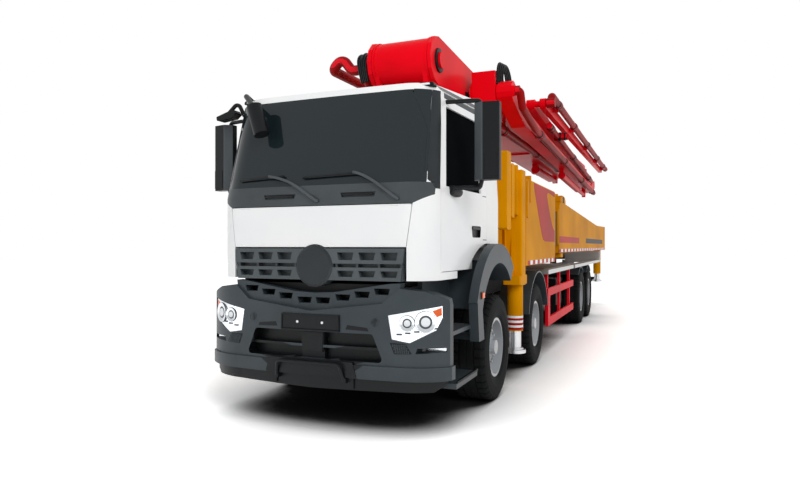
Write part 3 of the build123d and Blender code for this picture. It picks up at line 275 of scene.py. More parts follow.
COWL_TOP = 2.084
BOSS_Y, BOSS_Z, BOSS_R, BOSS_FACE = 0.0, 1.39, 0.18, 7.118
recolour("grille", cowl_plastic,
         lambda x, y, z, n: x > BOSS_FACE - 0.002 and math.hypot(y - BOSS_Y, z - BOSS_Z) < BOSS_R)
recolour("windscreen", grey_cowl, lambda x, y, z, n: z < COWL_TOP)
# The bumper's lower lip and tow box, then its plate tray, then the walls of its intake.
recolour("bumper", black_plastic,
         lambda x, y, z, n: z < 0.462 or (abs(y) < 0.45 and 0.45 < z < 0.605 and x > 7.12))
recolour("bumper", black_plastic, lambda x, y, z, n: abs(y) < 0.277 and 0.846 < z < 0.978 and x > 7.1)
recolour("bumper", black_plastic, lambda x, y, z, n: abs(y) < 0.69 and 0.6 < z < 0.85 and x < 7.14)
for side in SIGNS:
    recolour(f"door_{side}", black_plastic,
             lambda x, y, z, n: 5.82 < x < 6.105 and 1.635 < z < 1.755 and abs(y) > 1.0)
    recolour(f"mirror_{side}", mirror_grey,
             lambda x, y, z, n: x > 6.57 and abs(y) < 1.35 and n.x > 0.5 and 2.13 < z < 2.78)
for number in range(1, 6):
    recolour(f"pipe_{number}", coupling_paint, lambda x, y, z, n: abs(n.x) > 0.9)

# %% [markdown]
# A few general helpers draw the small fittings. The first closes a mesh, softens its edges and hangs
# it on the body that carries it. The others feed it with prisms, turned profiles, bars and hoses.

# %% Helpers for fittings
SHARP = math.radians(30)
MERGE = 0.00002


def finish_piece(name, mesh, material, body, edge_mm=0.0):
    shape = bmesh.new()
    shape.from_mesh(mesh)
    bmesh.ops.remove_doubles(shape, verts=shape.verts, dist=MERGE)
    bmesh.ops.recalc_face_normals(shape, faces=shape.faces)
    if edge_mm:
        sharp = [edge for edge in shape.edges if len(edge.link_faces) == 2 and edge.calc_face_angle() > SHARP]
        bmesh.ops.bevel(shape, geom=sharp, offset=edge_mm / 1000, segments=2, affect="EDGES",
                        clamp_overlap=True)
    shape.to_mesh(mesh)
    shape.free()
    if not mesh.materials:
        mesh.materials.append(material)
    piece = bpy.data.objects.new(name, mesh)
    bpy.context.collection.objects.link(piece)
    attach(piece, body)
    return piece


def mesh_of(name, points, faces):
    mesh = bpy.data.meshes.new(name)
    mesh.from_pydata(points, [], faces)
    return mesh


def smooth(piece):
    piece.data.shade_smooth()
    piece.data.set_sharp_from_angle(angle=SHARP)
    return piece


def plain_mesh(name, carrier):
    """The evaluated shape of a curve or of a tree's points as one mesh; the carrier goes."""
    bpy.context.collection.objects.link(carrier)
    bpy.context.view_layer.update()
    mesh = bpy.data.meshes.new_from_object(carrier.evaluated_get(bpy.context.evaluated_depsgraph_get()))
    bpy.data.objects.remove(carrier)
    mesh.name = name
    return mesh


def prisms(name, rows, material, body, edge_mm=3.0):
    """One piece of several extruded outlines, each as (axis, outline, low, high)."""
    points, faces = [], []
    for axis, outline, low, high in rows:
        first, count = len(points), len(outline)
        for level in (low, high):
            for a, b in outline:
                points.append({"x": (level, a, b), "y": (a, level, b), "z": (a, b, level)}[axis])
        faces.append(tuple(range(first, first + count)))
        faces.append(tuple(range(first + count, first + 2 * count)))
        for k in range(count):
            j = (k + 1) % count
            faces.append((first + k, first + j, first + count + j, first + count + k))
    return finish_piece(name, mesh_of(name, points, faces), material, body, edge_mm)


def rectangle(a0, b0, a1, b1):
    return [(a0, b0), (a1, b0), (a1, b1), (a0, b1)]


def slab(x0, x1, y0, y1, z0, z1):
    return ("z", rectangle(x0, y0, x1, y1), z0, z1)


def flipped(sign, outline):
    return [(sign * y, z) for y, z in outline]


def outward(sign, inner, outer):
    """The two Y limits of a piece on one side, the lower one first."""
    return sorted((sign * inner, sign * outer))


def on_side(sign, outline, inner, outer):
    """A row for prisms, from an (x, z) outline and its two distances from the middle."""
    return ("y", outline, *outward(sign, inner, outer))


def turnings(name, rows, material, body, sides=32):
    """One piece of several turned shapes, each as (start, direction, profile of (along, radius))."""
    points, faces = [], []
    for start, direction, profile in rows:
        axis = Vector(direction).normalized()
        across = axis.orthogonal().normalized()
        other = axis.cross(across)
        first = len(points)
        for along, radius in profile:
            for k in range(sides):
                angle = 2 * math.pi * k / sides
                spoke = across * math.cos(angle) + other * math.sin(angle)
                points.append(Vector(start) + axis * along + spoke * radius)
        for ring in range(len(profile) - 1):
            for k in range(sides):
                j = (k + 1) % sides
                low, high = first + ring * sides, first + (ring + 1) * sides
                faces.append((low + k, low + j, high + j, high + k))
        faces.append(tuple(range(first, first + sides)))
        faces.append(tuple(range(first + (len(profile) - 1) * sides, first + len(profile) * sides)))
    return smooth(finish_piece(name, mesh_of(name, points, faces), material, body))


def tubes(name, runs, material, body):
    """Round bars and hoses as one piece, each as (radius, points) along one smooth curve."""
    curve = bpy.data.curves.new(name, "CURVE")
    curve.dimensions = "3D"
    curve.bevel_depth = 1.0
    curve.bevel_resolution = 3
    curve.resolution_u = 5
    curve.use_fill_caps = True
    for radius, route in runs:
        spline = curve.splines.new("NURBS")
        spline.points.add(len(route) - 1)
        for knot, place in zip(spline.points, route):
            knot.co = (*place, 1)
            knot.radius = radius
        spline.order_u = 3
        spline.use_endpoint_u = True
    mesh = plain_mesh(name, bpy.data.objects.new(name, curve))
    mesh.materials.clear()
    piece = finish_piece(name, mesh, material, body)
    piece.data.shade_smooth()
    return piece


print("helpers for fittings ready")

# %% [markdown]
# Bolts, tape stripes and step teeth repeat, so Geometry Nodes stand a small shape on every point of a
# cloud, turned by two attributes. One tree serves round and hexagonal heads, the other blocks.

# %% Trees that repeat a small shape
def start_tree(name, **sizes):
    """A tree whose inputs are the points, the named sizes with their kinds, and the finish."""
    tree = bpy.data.node_groups.new(name, "GeometryNodeTree")
    sockets = {"Points": "Geometry", **sizes, "Finish": "Material"}
    for label, kind in sockets.items():
        tree.interface.new_socket(label, in_out="INPUT", socket_type=f"NodeSocket{kind}")
    tree.interface.new_socket("Pieces", in_out="OUTPUT", socket_type="NodeSocketGeometry")
    return tree, add_node(tree, "NodeGroupInput").outputs


def finish_tree(tree, given, shape):
    """Turns the shape's Z to the facing attribute and its X to the along attribute, on each point."""
    facing, along = (
        add_node(tree, "GeometryNodeInputNamedAttribute", {"Name": name}, data_type="FLOAT_VECTOR")
        for name in ("facing", "along")
    )
    align = "FunctionNodeAlignRotationToVector"
    stand = add_node(tree, align, {"Vector": facing}, axis="Z")
    turn = add_node(tree, align, {"Rotation": stand, "Vector": along}, axis="X", pivot_axis="Z")
    spread = {"Points": given["Points"], "Instance": shape, "Rotation": turn}
    copies = add_node(tree, "GeometryNodeInstanceOnPoints", spread)
    whole = add_node(tree, "GeometryNodeRealizeInstances", {"Geometry": copies})
    dressed = add_node(tree, "GeometryNodeSetMaterial", {"Geometry": whole, "Material": given["Finish"]})
    add_node(tree, "NodeGroupOutput", {"Pieces": dressed})


HEAD_TREE, given = start_tree("round_heads", Sides="Int", Radius="Float", Height="Float")
head = {"Vertices": given["Sides"], "Radius": given["Radius"], "Depth": given["Height"]}
finish_tree(HEAD_TREE, given, add_node(HEAD_TREE, "GeometryNodeMeshCylinder", head))

BLOCK_TREE, given = start_tree("blocks", Size="Vector")
finish_tree(BLOCK_TREE, given, add_node(BLOCK_TREE, "GeometryNodeMeshCube", {"Size": given["Size"]}))


def repeat(name, tree, sizes, places, material, body):
    """Stands the tree's shape on places, each (point, facing, along), as one plain mesh on a body."""
    cloud = bpy.data.meshes.new(name)
    cloud.from_pydata([place[0] for place in places], [], [])
    for number, label in ((1, "facing"), (2, "along")):
        layer = cloud.attributes.new(label, "FLOAT_VECTOR", "POINT")
        for item, place in zip(layer.data, places):
            item.vector = place[number]
    carrier = bpy.data.objects.new(name, cloud)
    modifier = carrier.modifiers.new("repeat", "NODES")
    modifier.node_group = tree
    settings = {item.name: item.identifier for item in tree.interface.items_tree}
    for label, value in {**sizes, "Finish": material}.items():
        modifier[settings[label]] = value
    return finish_piece(name, plain_mesh(name, carrier), material, body)


FORE, LEFTWARD, UP = (1, 0, 0), (0, 1, 0), (0, 0, 1)
print("trees ready:", HEAD_TREE.name, "and", BLOCK_TREE.name)

# %% [markdown]
# Lamp covers, vents and shut lines follow the skin under them. A grid of rays from outside finds the
# skin, and the hits make a thin panel that fits it.

# %% Panels that follow the skin
skins = {}


def find_skin(name, start, direction):
    if name not in skins:
        mesh = nodes[name].data
        corners = [vertex.co for vertex in mesh.vertices]
        skins[name] = BVHTree.FromPolygons(corners, [tuple(face.vertices) for face in mesh.polygons])
    place, normal, _, _ = skins[name].ray_cast(Vector(start), Vector(direction))
    return place, normal


def panel_from(name, grid, material, body):
    """A closed thin panel from rows of (outer, inner) points."""
    rows, columns = len(grid), len(grid[0])
    total = rows * columns
    points = [pair[0] for row in grid for pair in row] + [pair[1] for row in grid for pair in row]
    faces = []
    for i in range(rows - 1):
        for j in range(columns - 1):
            k = i * columns + j
            ring = (k, k + 1, k + columns + 1, k + columns)
            faces += [ring, tuple(corner + total for corner in ring)]
    edge = list(range(columns)) + [i * columns + columns - 1 for i in range(1, rows)]
    edge += [(rows - 1) * columns + j for j in range(columns - 2, -1, -1)]
    edge += [i * columns for i in range(rows - 2, 0, -1)]
    for k, j in zip(edge, edge[1:] + edge[:1]):
        faces.append((k, j, j + total, k + total))
    return smooth(finish_piece(name, mesh_of(name, points, faces), material, body))


def patch(name, node, corners, start_from, material, body, lift_mm=3.0, steps=8, rim=0.004):
    """A thin panel over the skin: corners are pairs round a quad, and start_from makes a ray of a pair."""
    grid = []
    (a0, b0), (a1, b1), (a2, b2), (a3, b3) = corners
    for i in range(steps + 1):
        s = i / steps
        row = []
        for j in range(steps + 1):
            t = j / steps
            a = (1 - t) * ((1 - s) * a0 + s * a1) + t * ((1 - s) * a3 + s * a2)
            b = (1 - t) * ((1 - s) * b0 + s * b1) + t * ((1 - s) * b3 + s * b2)
            start, direction = start_from(a, b)
            place, _ = find_skin(node, start, direction)
            if place is None:
                raise ValueError(f"{name} misses {node} at {a:.3f}, {b:.3f}")
            back = Vector(direction).normalized()
            row.append((place - back * (lift_mm / 1000), place + back * rim))
        grid.append(row)
    return panel_from(name, grid, material, body)


def from_front(y, z):
    return (8.5, y, z), (-1, 0, 0)


def from_side(sign):
    return lambda x, z: ((x, sign * 2.5, z), (0, -sign, 0))


def on_front(node, y, z):
    return find_skin(node, *from_front(y, z))


print("skin finder ready")

# %% [markdown]
# A truck tyre is a carcass with a block tread: two grooves run round it and short ones cut across the
# shoulders, each side half a pitch behind the other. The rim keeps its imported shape: a copy of the
# wheel keeps only the faces inside the bead, and the tyre is swept again with its tread cut in.

# %% Tyres and rims
HUB_HEIGHT = 0.53
BEAD_R, TREAD_R, GROOVE = 0.288, 0.530, 0.013
TREAD_PITCHES = 38
# Stations from one bead to the middle: share of the half width, radius, and the kind of band.
HALF_SECTION = (
    (-0.80, BEAD_R, "wall"), (-0.93, 0.330, "wall"), (-1.00, 0.400, "wall"), (-0.975, 0.455, "wall"),
    (-0.93, 0.495, "wall"), (-0.86, 0.516, "near"), (-0.74, TREAD_R, "near"), (-0.42, TREAD_R, "near"),
    (-0.40, TREAD_R, "slot"), (-0.34, TREAD_R, "slot"), (-0.32, TREAD_R, "middle"),
    (-0.03, TREAD_R, "middle"),
)
SECTION = (*HALF_SECTION, (0.0, TREAD_R - 0.006, "middle"),
           *((-share, radius, band.replace("near", "far")) for share, radius, band in HALF_SECTION[::-1]))
TURN_STATIONS = (0.0, 0.05, 0.20, 0.25, 0.50, 0.55, 0.70, 0.75)
CUTS = {"near": (0.05, 0.20), "far": (0.55, 0.70)}


def tyre_points(x, y_inner, y_outer):
    middle, half = (y_inner + y_outer) / 2, (y_outer - y_inner) / 2
    points = []
    for pitch in range(TREAD_PITCHES):
        for station in TURN_STATIONS:
            angle = 2 * math.pi * (pitch + station) / TREAD_PITCHES
            c, s = math.cos(angle), math.sin(angle)
            for share, radius, band in SECTION:
                cut = band == "slot" or (band in CUTS and CUTS[band][0] <= station <= CUTS[band][1])
                r = radius - GROOVE if cut else radius
                points.append((x + r * c, middle + half * share, HUB_HEIGHT + r * s))
    return points


# The inner and outer faces of each left tyre, the flange that the nuts sit on, and the brake's face.
STEERED = (((0.835, 1.220),), 1.118, 1.065)
TWIN = (((0.905, 1.220), (0.560, 0.875)), 0.952, 0.885)
WHEELS = {1: (5.510, *STEERED), 2: (3.400, *STEERED), 3: (-1.480, *TWIN), 4: (-2.830, *TWIN)}
RIM_REACH = 0.3008
NUT_CIRCLE, NUTS, NUT_HEAD = 0.1675, 10, {"Sides": 6, "Radius": 0.017, "Height": 0.034}
DISC_R = 0.268


def wheel_pieces(number, side):
    x, tyres, flange_y, brake_y = WHEELS[number]
    sign = SIGNS[side]
    node = body = f"wheel_{number}_{side}"
    points, faces = [], []
    across, around = len(SECTION), TREAD_PITCHES * len(TURN_STATIONS)
    for inner, outer in tyres:
        first = len(points)
        points += tyre_points(x, inner * sign, outer * sign)
        for ring in range(around):
            low, high = first + ring * across, first + (ring + 1) % around * across
            for k in range(across):
                j = (k + 1) % across
                faces.append((low + k, low + j, high + j, high + k))
    tyre = f"tyre_{number}_{side}"
    tread = finish_piece(tyre, mesh_of(tyre, points, faces), tyre_rubber, body)
    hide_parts(node)
    rim_shape = bmesh.new()
    rim_shape.from_mesh(nodes[node].data)
    bmesh.ops.remove_doubles(rim_shape, verts=rim_shape.verts, dist=MERGE)
    hub = Vector((x, 0, HUB_HEIGHT))
    outside = [f for f in rim_shape.faces if (f.calc_center_median() - hub).xz.length > RIM_REACH]
    bmesh.ops.delete(rim_shape, geom=outside, context="FACES")
    rim_mesh = bpy.data.meshes.new(f"rim_{number}_{side}")
    rim_shape.to_mesh(rim_mesh)
    rim_shape.free()
    rim_mesh.materials.append(silver_paint)
    rim = bpy.data.objects.new(f"rim_{number}_{side}", rim_mesh)
    bpy.context.collection.objects.link(rim)
    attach(rim, body)
    ring = []
    for k in range(NUTS):
        c, s = math.cos(2 * math.pi * k / NUTS), math.sin(2 * math.pi * k / NUTS)
        spot = (x + NUT_CIRCLE * c, flange_y * sign, HUB_HEIGHT + NUT_CIRCLE * s)
        ring.append((spot, (0, sign, 0), (c, 0, s)))
    repeat(f"wheel_nuts_{number}_{side}", HEAD_TREE, NUT_HEAD, ring, plated_steel, body)
    disc = ((x, brake_y * sign, HUB_HEIGHT), (0, sign, 0), [(0, DISC_R), (0.008, DISC_R)])
    turnings(f"brake_shadow_{number}_{side}", [disc], black_plastic, body)


for number in WHEELS:
    for side in SIGNS:
        wheel_pieces(number, side)
print("eight wheels dressed")

# %% [markdown]
# A headlamp is a clear cover over bright bowls, so each bowl is turned as stepped rings with a
# frosted bulb in the middle, set on the lamp's own slope.

# %% Lamps
orange_plastic = moulded_plastic("orange_lens", "#f06a10", "#d85408", 0.2)
red_plastic = moulded_plastic("red_lens", "#c01010", "#a00c0c", 0.2)
frosted_white = moulded_plastic("frosted_bulb", "#f4f6f8", "#e4e8ec", 0.25)
DIPPED, MAIN = (0.865, 0.937, 0.062), (1.005, 0.947, 0.088)  # y, z and radius of each bowl
RIBS = 5
bowls, bulbs, rings, ribs = [], [], [], []
for sign in SIGNS.values():
    for y, z, r in (DIPPED, MAIN):
        place, normal = on_front("headlamps", sign * y, z)
        bowl = [(-0.01, r), (0.010, r), (0.010, r * 0.86), (0.001, r * 0.5), (0.0005, r * 0.3)]
        bowls.append((place, normal, bowl))
        rings.append((place, normal, [(0.0, r + 0.003), (0.004, r + 0.003), (0.004, r - 0.001)]))
        bulbs.append((place, normal, [(0.0, r * 0.46), (0.010, r * 0.42), (0.016, r * 0.24)]))
    for k in range(RIBS):
        place, normal = on_front("headlamps", sign * (0.80 + 0.07 * k), 0.845 + 0.012 * k)
        ribs.append((tuple(place + normal * 0.002), tuple(normal), UP))
turnings("headlamp_bowls", bowls, lamp_chrome, "truck", sides=40)
turnings("headlamp_rings", rings, mirror_grey, "truck", sides=40)
turnings("headlamp_bulbs", bulbs, frosted_white, "truck", sides=24)
repeat("headlamp_ribs", BLOCK_TREE, {"Size": (0.012, 0.045, 0.006)}, ribs, mirror_grey, "truck")
INDICATOR = [(1.055, 1.035), (1.115, 1.060), (1.118, 1.000), (1.085, 0.985)]
FOG_LENS = [(0.962, 0.694), (1.140, 0.703), (1.142, 0.731), (0.962, 0.731)]
for side, sign in SIGNS.items():
    corners = flipped(sign, INDICATOR)
    patch(f"indicator_{side}", "headlamps", corners, from_front, orange_plastic, "truck", 2)
    prisms(f"fog_lens_{side}", [("x", flipped(sign, FOG_LENS), 6.93, 6.955)], lamp_chrome, "truck")
print("lamps made")

# %% [markdown]
# The windscreen's packed glass stops short of its opening at the upper corners. Level rays sweep
# round each corner from outside: the pillar's trim lies on the skin that they find, and a panel of
# glass spans the gap that they slip through.

# %% Pillars, cowl and roof
CORNER_X, CORNER_Y = 6.2, 0.5  # the rays aim at this upright line
RAY_START, NEAR = 2.0, 1.4  # how far out a ray starts, and how far it runs before it counts as lost
TURNS = [0.30 + 0.005 * step for step in range(97)]
REAR_TURN, USUAL_START = 0.70, 0.664


def near_hit(side, turn, z, names=("windscreen", "cab_shell")):
    """The nearest skin on a ray round the corner, unless the ray has slipped past it into the cab."""
    direction = Vector((-math.cos(turn), -SIGNS[side] * math.sin(turn), 0))
    start = Vector((CORNER_X, SIGNS[side] * CORNER_Y, z)) - direction * RAY_START
    found = []
    for name in names:
        place, _ = find_skin(name, start, direction)
        if place is not None and (place - start).length < NEAR:
            found.append(((place - start).length, place))
    return min(found, key=lambda item: item[0])[1] if found else None


def corner_row(side, z, low, high, columns, lift_mm):
    """Points between two turns at one height, each on the skin or in line between the ends."""
    first, last = near_hit(side, low, z), near_hit(side, high, z)
    row = []
    for k in range(columns + 1):
        turn = low + (high - low) * k / columns
        straight = first.lerp(last, k / columns)
        place = near_hit(side, turn, z) or straight
        out = Vector((math.cos(turn), math.sin(turn) * SIGNS[side], 0))
        row.append((place + out * lift_mm / 1000, place - out * 0.004))
    return row


def pillar_start(side, z, rear=REAR_TURN):
    """The turn at which the cab's shell begins behind the glass, at one height."""
    missed = [turn for turn in TURNS if turn < rear and not near_hit(side, turn, z, ("cab_shell",))]
    return missed[-1] + 0.006 if missed else USUAL_START


PILLAR_Z = (2.035, 2.110, 2.280, 2.450, 2.600, 2.720, 2.800, 2.850, 2.888)
DOOR_EDGE = (0.694, 0.700, 0.720, 0.740, 0.760, 0.766, 0.776, 0.778, 0.786)
CORNER_Z = (COWL_TOP, 2.180, 2.280, 2.380, 2.470, 2.530, 2.600, 2.660, 2.720, 2.780, 2.830, 2.888)
for side in SIGNS:
    rows = []
    for z, rear in zip(PILLAR_Z, DOOR_EDGE):
        front = pillar_start(side, z, rear)
        rows.append(corner_row(side, z, min(front, rear - 0.02), rear, 5, 2.5))
    panel_from(f"pillar_trim_{side}", rows, cowl_plastic, "truck")
    rows = []
    for z in CORNER_Z[:-1]:
        gap = [turn for turn in TURNS if turn < REAR_TURN and not near_hit(side, turn, z)]
        start = pillar_start(side, z)
        low, high = (gap[0] - 0.02 if gap else start - 0.03), start + 0.008
        rows.append(corner_row(side, z, low, high, 4, 2.0))
    rows.append(corner_row(side, CORNER_Z[-1], low, high, 4, 2.0))
    panel_from(f"windscreen_corner_{side}", rows, dark_glass, "truck")
ROOF_WEDGE = [(6.650, 2.911), (5.320, 2.911), (5.320, 2.966), (6.630, 2.966)]
DOOR_WEDGE = [(6.640, 2.842), (5.700, 2.842), (5.700, 2.896), (6.640, 2.896)]
for side, sign in SIGNS.items():
    door, ray = f"door_{side}", from_side(sign)
    patch(f"door_wedge_{side}", door, DOOR_WEDGE, ray, cowl_plastic, door, 1, 6)
    patch(f"roof_wedge_{side}", "cab_shell", ROOF_WEDGE, ray, cowl_plastic, "truck", 1, 6)
ROOF_LAMP = [(0.80, 2.925), (0.975, 2.925), (0.965, 2.958), (0.81, 2.958)]
ROOF_LENS = [(0.835, 2.934), (0.94, 2.934), (0.935, 2.950), (0.84, 2.950)]
roof_lamps = [("x", flipped(sign, ROOF_LAMP), 6.70, 6.79) for sign in SIGNS.values()]
roof_lenses = [("x", flipped(sign, ROOF_LENS), 6.78, 6.796) for sign in SIGNS.values()]
prisms("roof_lamp_frames", roof_lamps, black_plastic, "truck", 6)
prisms("roof_lamp_lenses", roof_lenses, frosted_white, "truck", 2)
HANDLE = ((7.098, -0.14, 1.992), (7.112, -0.13, 1.996), (7.112, 0.13, 1.996), (7.098, 0.14, 1.992))
handle_runs = [(0.011, [(x, y + middle, z) for x, y, z in HANDLE]) for middle in (-0.360, 0.410)]
tubes("cowl_handles", handle_runs, black_plastic, "truck")

# %% Wipers
WIPERS = (  # pivot, elbow and tip of the arm, then the blade's two ends
    ((0.031, 1.945), (-0.300, 2.150), (-0.480, 2.172), (-0.800, 2.150), (-0.330, 2.170)),
    ((0.774, 1.945), (0.470, 2.155), (0.360, 2.176), (-0.130, 2.150), (0.430, 2.168)),
)
ARM_LIFT, BLADE_LIFT = 0.034, 0.018
wiper_runs, blades = [], []
for stations in WIPERS:
    hits = [on_front("windscreen", *station) for station in stations]
    route = [tuple(place + normal * ARM_LIFT) for place, normal in hits[:3]]
    wiper_runs.append((0.013, [tuple(hits[0][0] + Vector((0.005, 0, 0))), *route]))
    blades.append((0.011, [tuple(place + normal * BLADE_LIFT) for place, normal in hits[3:]]))
tubes("wiper_arms", wiper_runs, mirror_grey, "truck")
tubes("wiper_blades", blades, black_plastic, "truck")
print("wipers parked")

# %% [markdown]
# Small things break the bumper's dark face: the blank plate with its two screws, two caps, mesh
# vents, the honeycomb below each lamp and the bolts of the step's brackets.

# %% Bumper fittings
SCREW_HEAD = {"Sides": 16, "Radius": 0.011, "Height": 0.008}
BOLT_HEAD = {"Sides": 6, "Radius": 0.012, "Height": 0.03}
CAP_PROFILE = [(-0.004, 0.040), (0.002, 0.040), (0.002, 0.034), (0.0, 0.034), (0.0, 0.003)]
caps, screws, bracket_bolts = [], [], []
for sign in SIGNS.values():
    caps.append((*on_front("bumper", sign * 0.598, 0.935), CAP_PROFILE))
    screws.append((tuple(on_front("bumper", sign * 0.121, 0.915)[0]), FORE, UP))
    for z in (0.398, 0.432):
        bracket_bolts.append((tuple(on_front("bumper", sign * 0.376, z)[0]), FORE, UP))
turnings("tow_eye_caps", caps, anthracite, "truck", sides=28)
repeat("plate_screws", HEAD_TREE, SCREW_HEAD, screws, frosted_white, "truck")
TRAY_Y, TRAY_LOW, TRAY_HIGH, TRAY_RIM = 0.282, 0.842, 0.984, 0.012
inner_low, inner_high = TRAY_LOW + TRAY_RIM, TRAY_HIGH - TRAY_RIM
plate_rim = [slab(7.170, 7.198, *strip) for strip in (
    (-TRAY_Y, TRAY_Y, inner_high, TRAY_HIGH), (-TRAY_Y, TRAY_Y, TRAY_LOW, inner_low),
    (-TRAY_Y, TRAY_RIM - TRAY_Y, inner_low, inner_high), (TRAY_Y - TRAY_RIM, TRAY_Y, inner_low, inner_high),
)]
prisms("plate_tray_rim", plate_rim, black_plastic, "truck", 3)
repeat("step_bracket_bolts", HEAD_TREE, BOLT_HEAD, bracket_bolts, frosted_white, "truck")
brackets = [slab(7.10, 7.165, *outward(sign, 0.345, 0.405), 0.375, 0.480) for sign in SIGNS.values()]
prisms("step_brackets", brackets, black_plastic, "truck", 4)
# Painted shade: black panels behind the grille and the gap above the bumper stand in for the dark inside of
# the nose.
NOSE_SHADE_PANELS = (slab(6.955, 6.965, -0.83, 0.83, 1.265, 1.545), slab(6.985, 6.995, -0.78, 0.78, 1.03, 1.262),
              slab(6.90, 6.995, -0.80, 0.80, 1.235, 1.262))
prisms("nose_shade_panels", NOSE_SHADE_PANELS, black_plastic, "truck", 0)
TOW_COVER = [(-0.105, 0.66), (0.105, 0.66), (0.115, 0.835), (-0.115, 0.835)]
prisms("tow_cover", [("x", TOW_COVER, 7.10, 7.150)], black_plastic, "truck", 8)
VENTS = {
    "intake_mesh": [(0.335, 0.868), (0.540, 0.860), (0.528, 0.888), (0.350, 0.905)],
    "lamp_honeycomb": [(0.758, 0.684), (0.905, 0.690), (0.855, 0.770), (0.722, 0.776)],
}
for side, sign in SIGNS.items():
    for label, quad in VENTS.items():
        patch(f"{label}_{side}", "bumper", flipped(sign, quad), from_front, black_plastic, "truck", 1.5, 6)
CELL_RIM = {"Sides": 6, "Radius": 0.0062, "Height": 0.005}
CELL_ROWS, CELL_COLUMNS = 6, 8
cells = []
for sign in SIGNS.values():
    for row in range(CELL_ROWS):
        for column in range(CELL_COLUMNS):
            t, s = (row + 0.5) / CELL_ROWS, (column + 0.25 + 0.5 * (row % 2)) / CELL_COLUMNS
            y = (1 - t) * (0.768 + s * 0.125) + t * (0.735 + s * 0.115)
            place, normal = on_front("bumper", sign * y, 0.692 + t * 0.072)
            cells.append((tuple(place + normal * 0.002), tuple(normal), LEFTWARD))
repeat("honeycomb_cells", HEAD_TREE, CELL_RIM, cells, anthracite, "truck")
print("bumper fitted with", len(cells), "cells")

# %% [markdown]
# The side of the cab carries two shut lines, the mirror's glass, caps and foot, and the marker lamp
# on the arch. The low step has a serrated edge, as pressed grip steps do.

# %% Cab side
MIRROR_KNOB = [(0.0, 0.030), (0.02, 0.044), (0.10, 0.050), (0.15, 0.040), (0.17, 0.02)]
SHUT_LINES = {"high": 2.050, "low": 1.620}
MARKER, MARKER_LENS = rectangle(6.185, 1.078, 6.290, 1.142), rectangle(6.205, 1.085, 6.275, 1.135)
STEP_TEETH, TOOTH_PITCH = 18, 0.034
step_teeth = []
for side, sign in SIGNS.items():
    body = f"door_{side}"
    glass = rectangle(sign * 1.29, 2.150, sign * 1.46, 2.765)
    prisms(f"mirror_glass_{side}", [("x", glass, 6.494, 6.502)], hard_chrome, body, 2)
    cap = [(x, sign * y) for x, y in
           ((6.545, 1.32), (6.612, 1.352), (6.622, 1.36), (6.597, 1.484), (6.54, 1.484))]
    prisms(f"mirror_cap_{side}", [("z", cap, 2.140, 2.335)], black_plastic, body, 8)
    knob = ((6.66, sign * 1.075, 2.045), (-1, sign * 0.25, -0.12), MIRROR_KNOB)
    turnings(f"mirror_foot_{side}", [knob], black_plastic, body)
    for label, z in SHUT_LINES.items():
        line = rectangle(5.665, z - 0.004, 5.775, z + 0.004)
        patch(f"shut_line_{label}_{side}", f"door_{side}", line, from_side(sign), mirror_grey, body, 1, 2)
    prisms(f"arch_marker_{side}", [on_side(sign, MARKER, 1.243, 1.252)], black_plastic, "truck", 2)
    prisms(f"arch_marker_lens_{side}", [on_side(sign, MARKER_LENS, 1.246, 1.262)], orange_plastic, "truck", 3)
    for k in range(STEP_TEETH):
        step_teeth.append(((6.262 + TOOTH_PITCH * k, sign * 1.196, 0.433), UP, FORE))
repeat("step_teeth", BLOCK_TREE, {"Size": (0.018, 0.022, 0.018)}, step_teeth, black_plastic, "truck")
print("cab sides fitted")

# %% [markdown]
# The yellow body wears film: a broad red sweep that falls down the fixed panel and runs on along the
# beam, a dark band behind it, and red and white tape along every lower edge. It is drawn two
# millimetres thick, more than real film, so that it stands clear of the paint.

# %% Stripes and tape
SWEEP = [
    (3.701, 2.368), (3.667, 2.280), (3.565, 2.158), (3.424, 2.009), (3.279, 1.855), (3.130, 1.709),
    (3.02, 1.640), (2.896, 1.622), (2.075, 1.622), (2.075, 1.790), (2.20, 1.820), (2.303, 1.870),
    (2.480, 2.012), (2.651, 2.176), (2.734, 2.270), (2.700, 2.312), (2.609, 2.325), (2.075, 2.300),
    (2.075, 2.370),
]
BEAM_STRIPE = rectangle(1.645, 1.610, -0.807, 1.715)
DARK_STRIPE = [(-1.982, 1.615), (-5.70, 1.610), (-5.70, 1.715), (-1.982, 1.715)]
PANEL_Y, BEAM_Y, FILM = 1.230, 1.240, 0.002
TAPE_LIFT = 0.0005
TAPES = (("red", stripe_red, 0), ("white", frosted_white, 1))
for side, sign in SIGNS.items():
    beam = f"rear_beam_{side}"
    sweep = on_side(sign, SWEEP, PANEL_Y, PANEL_Y + FILM)
    prisms(f"red_sweep_{side}", [sweep], stripe_red, "truck", 0)
    for name, outline, paint in (("red", BEAM_STRIPE, stripe_red), ("dark", DARK_STRIPE, stripe_grey)):
        stripe = on_side(sign, outline, BEAM_Y, BEAM_Y + FILM)
        prisms(f"{name}_stripe_{side}", [stripe], paint, beam, 0)
    face = (0, sign, 0)
    panel_row = [((4.02 - 0.16 * k, sign * (PANEL_Y + TAPE_LIFT), 1.352), face, FORE) for k in range(13)]
    beam_row = [((1.58 - 0.20 * k, sign * (BEAM_Y + TAPE_LIFT), 1.484), face, FORE) for k in range(41)]
    for colour, paint, offset in TAPES:
        for part, size, row, body in (("panel", (0.155, 0.052, FILM), panel_row, "truck"),
                                      ("beam", (0.195, 0.048, FILM), beam_row, beam)):
            places = row[offset::2]
            repeat(f"{colour}_{part}_tape_{side}", BLOCK_TREE, {"Size": size}, places, paint, body)
print("stripes and tape laid")

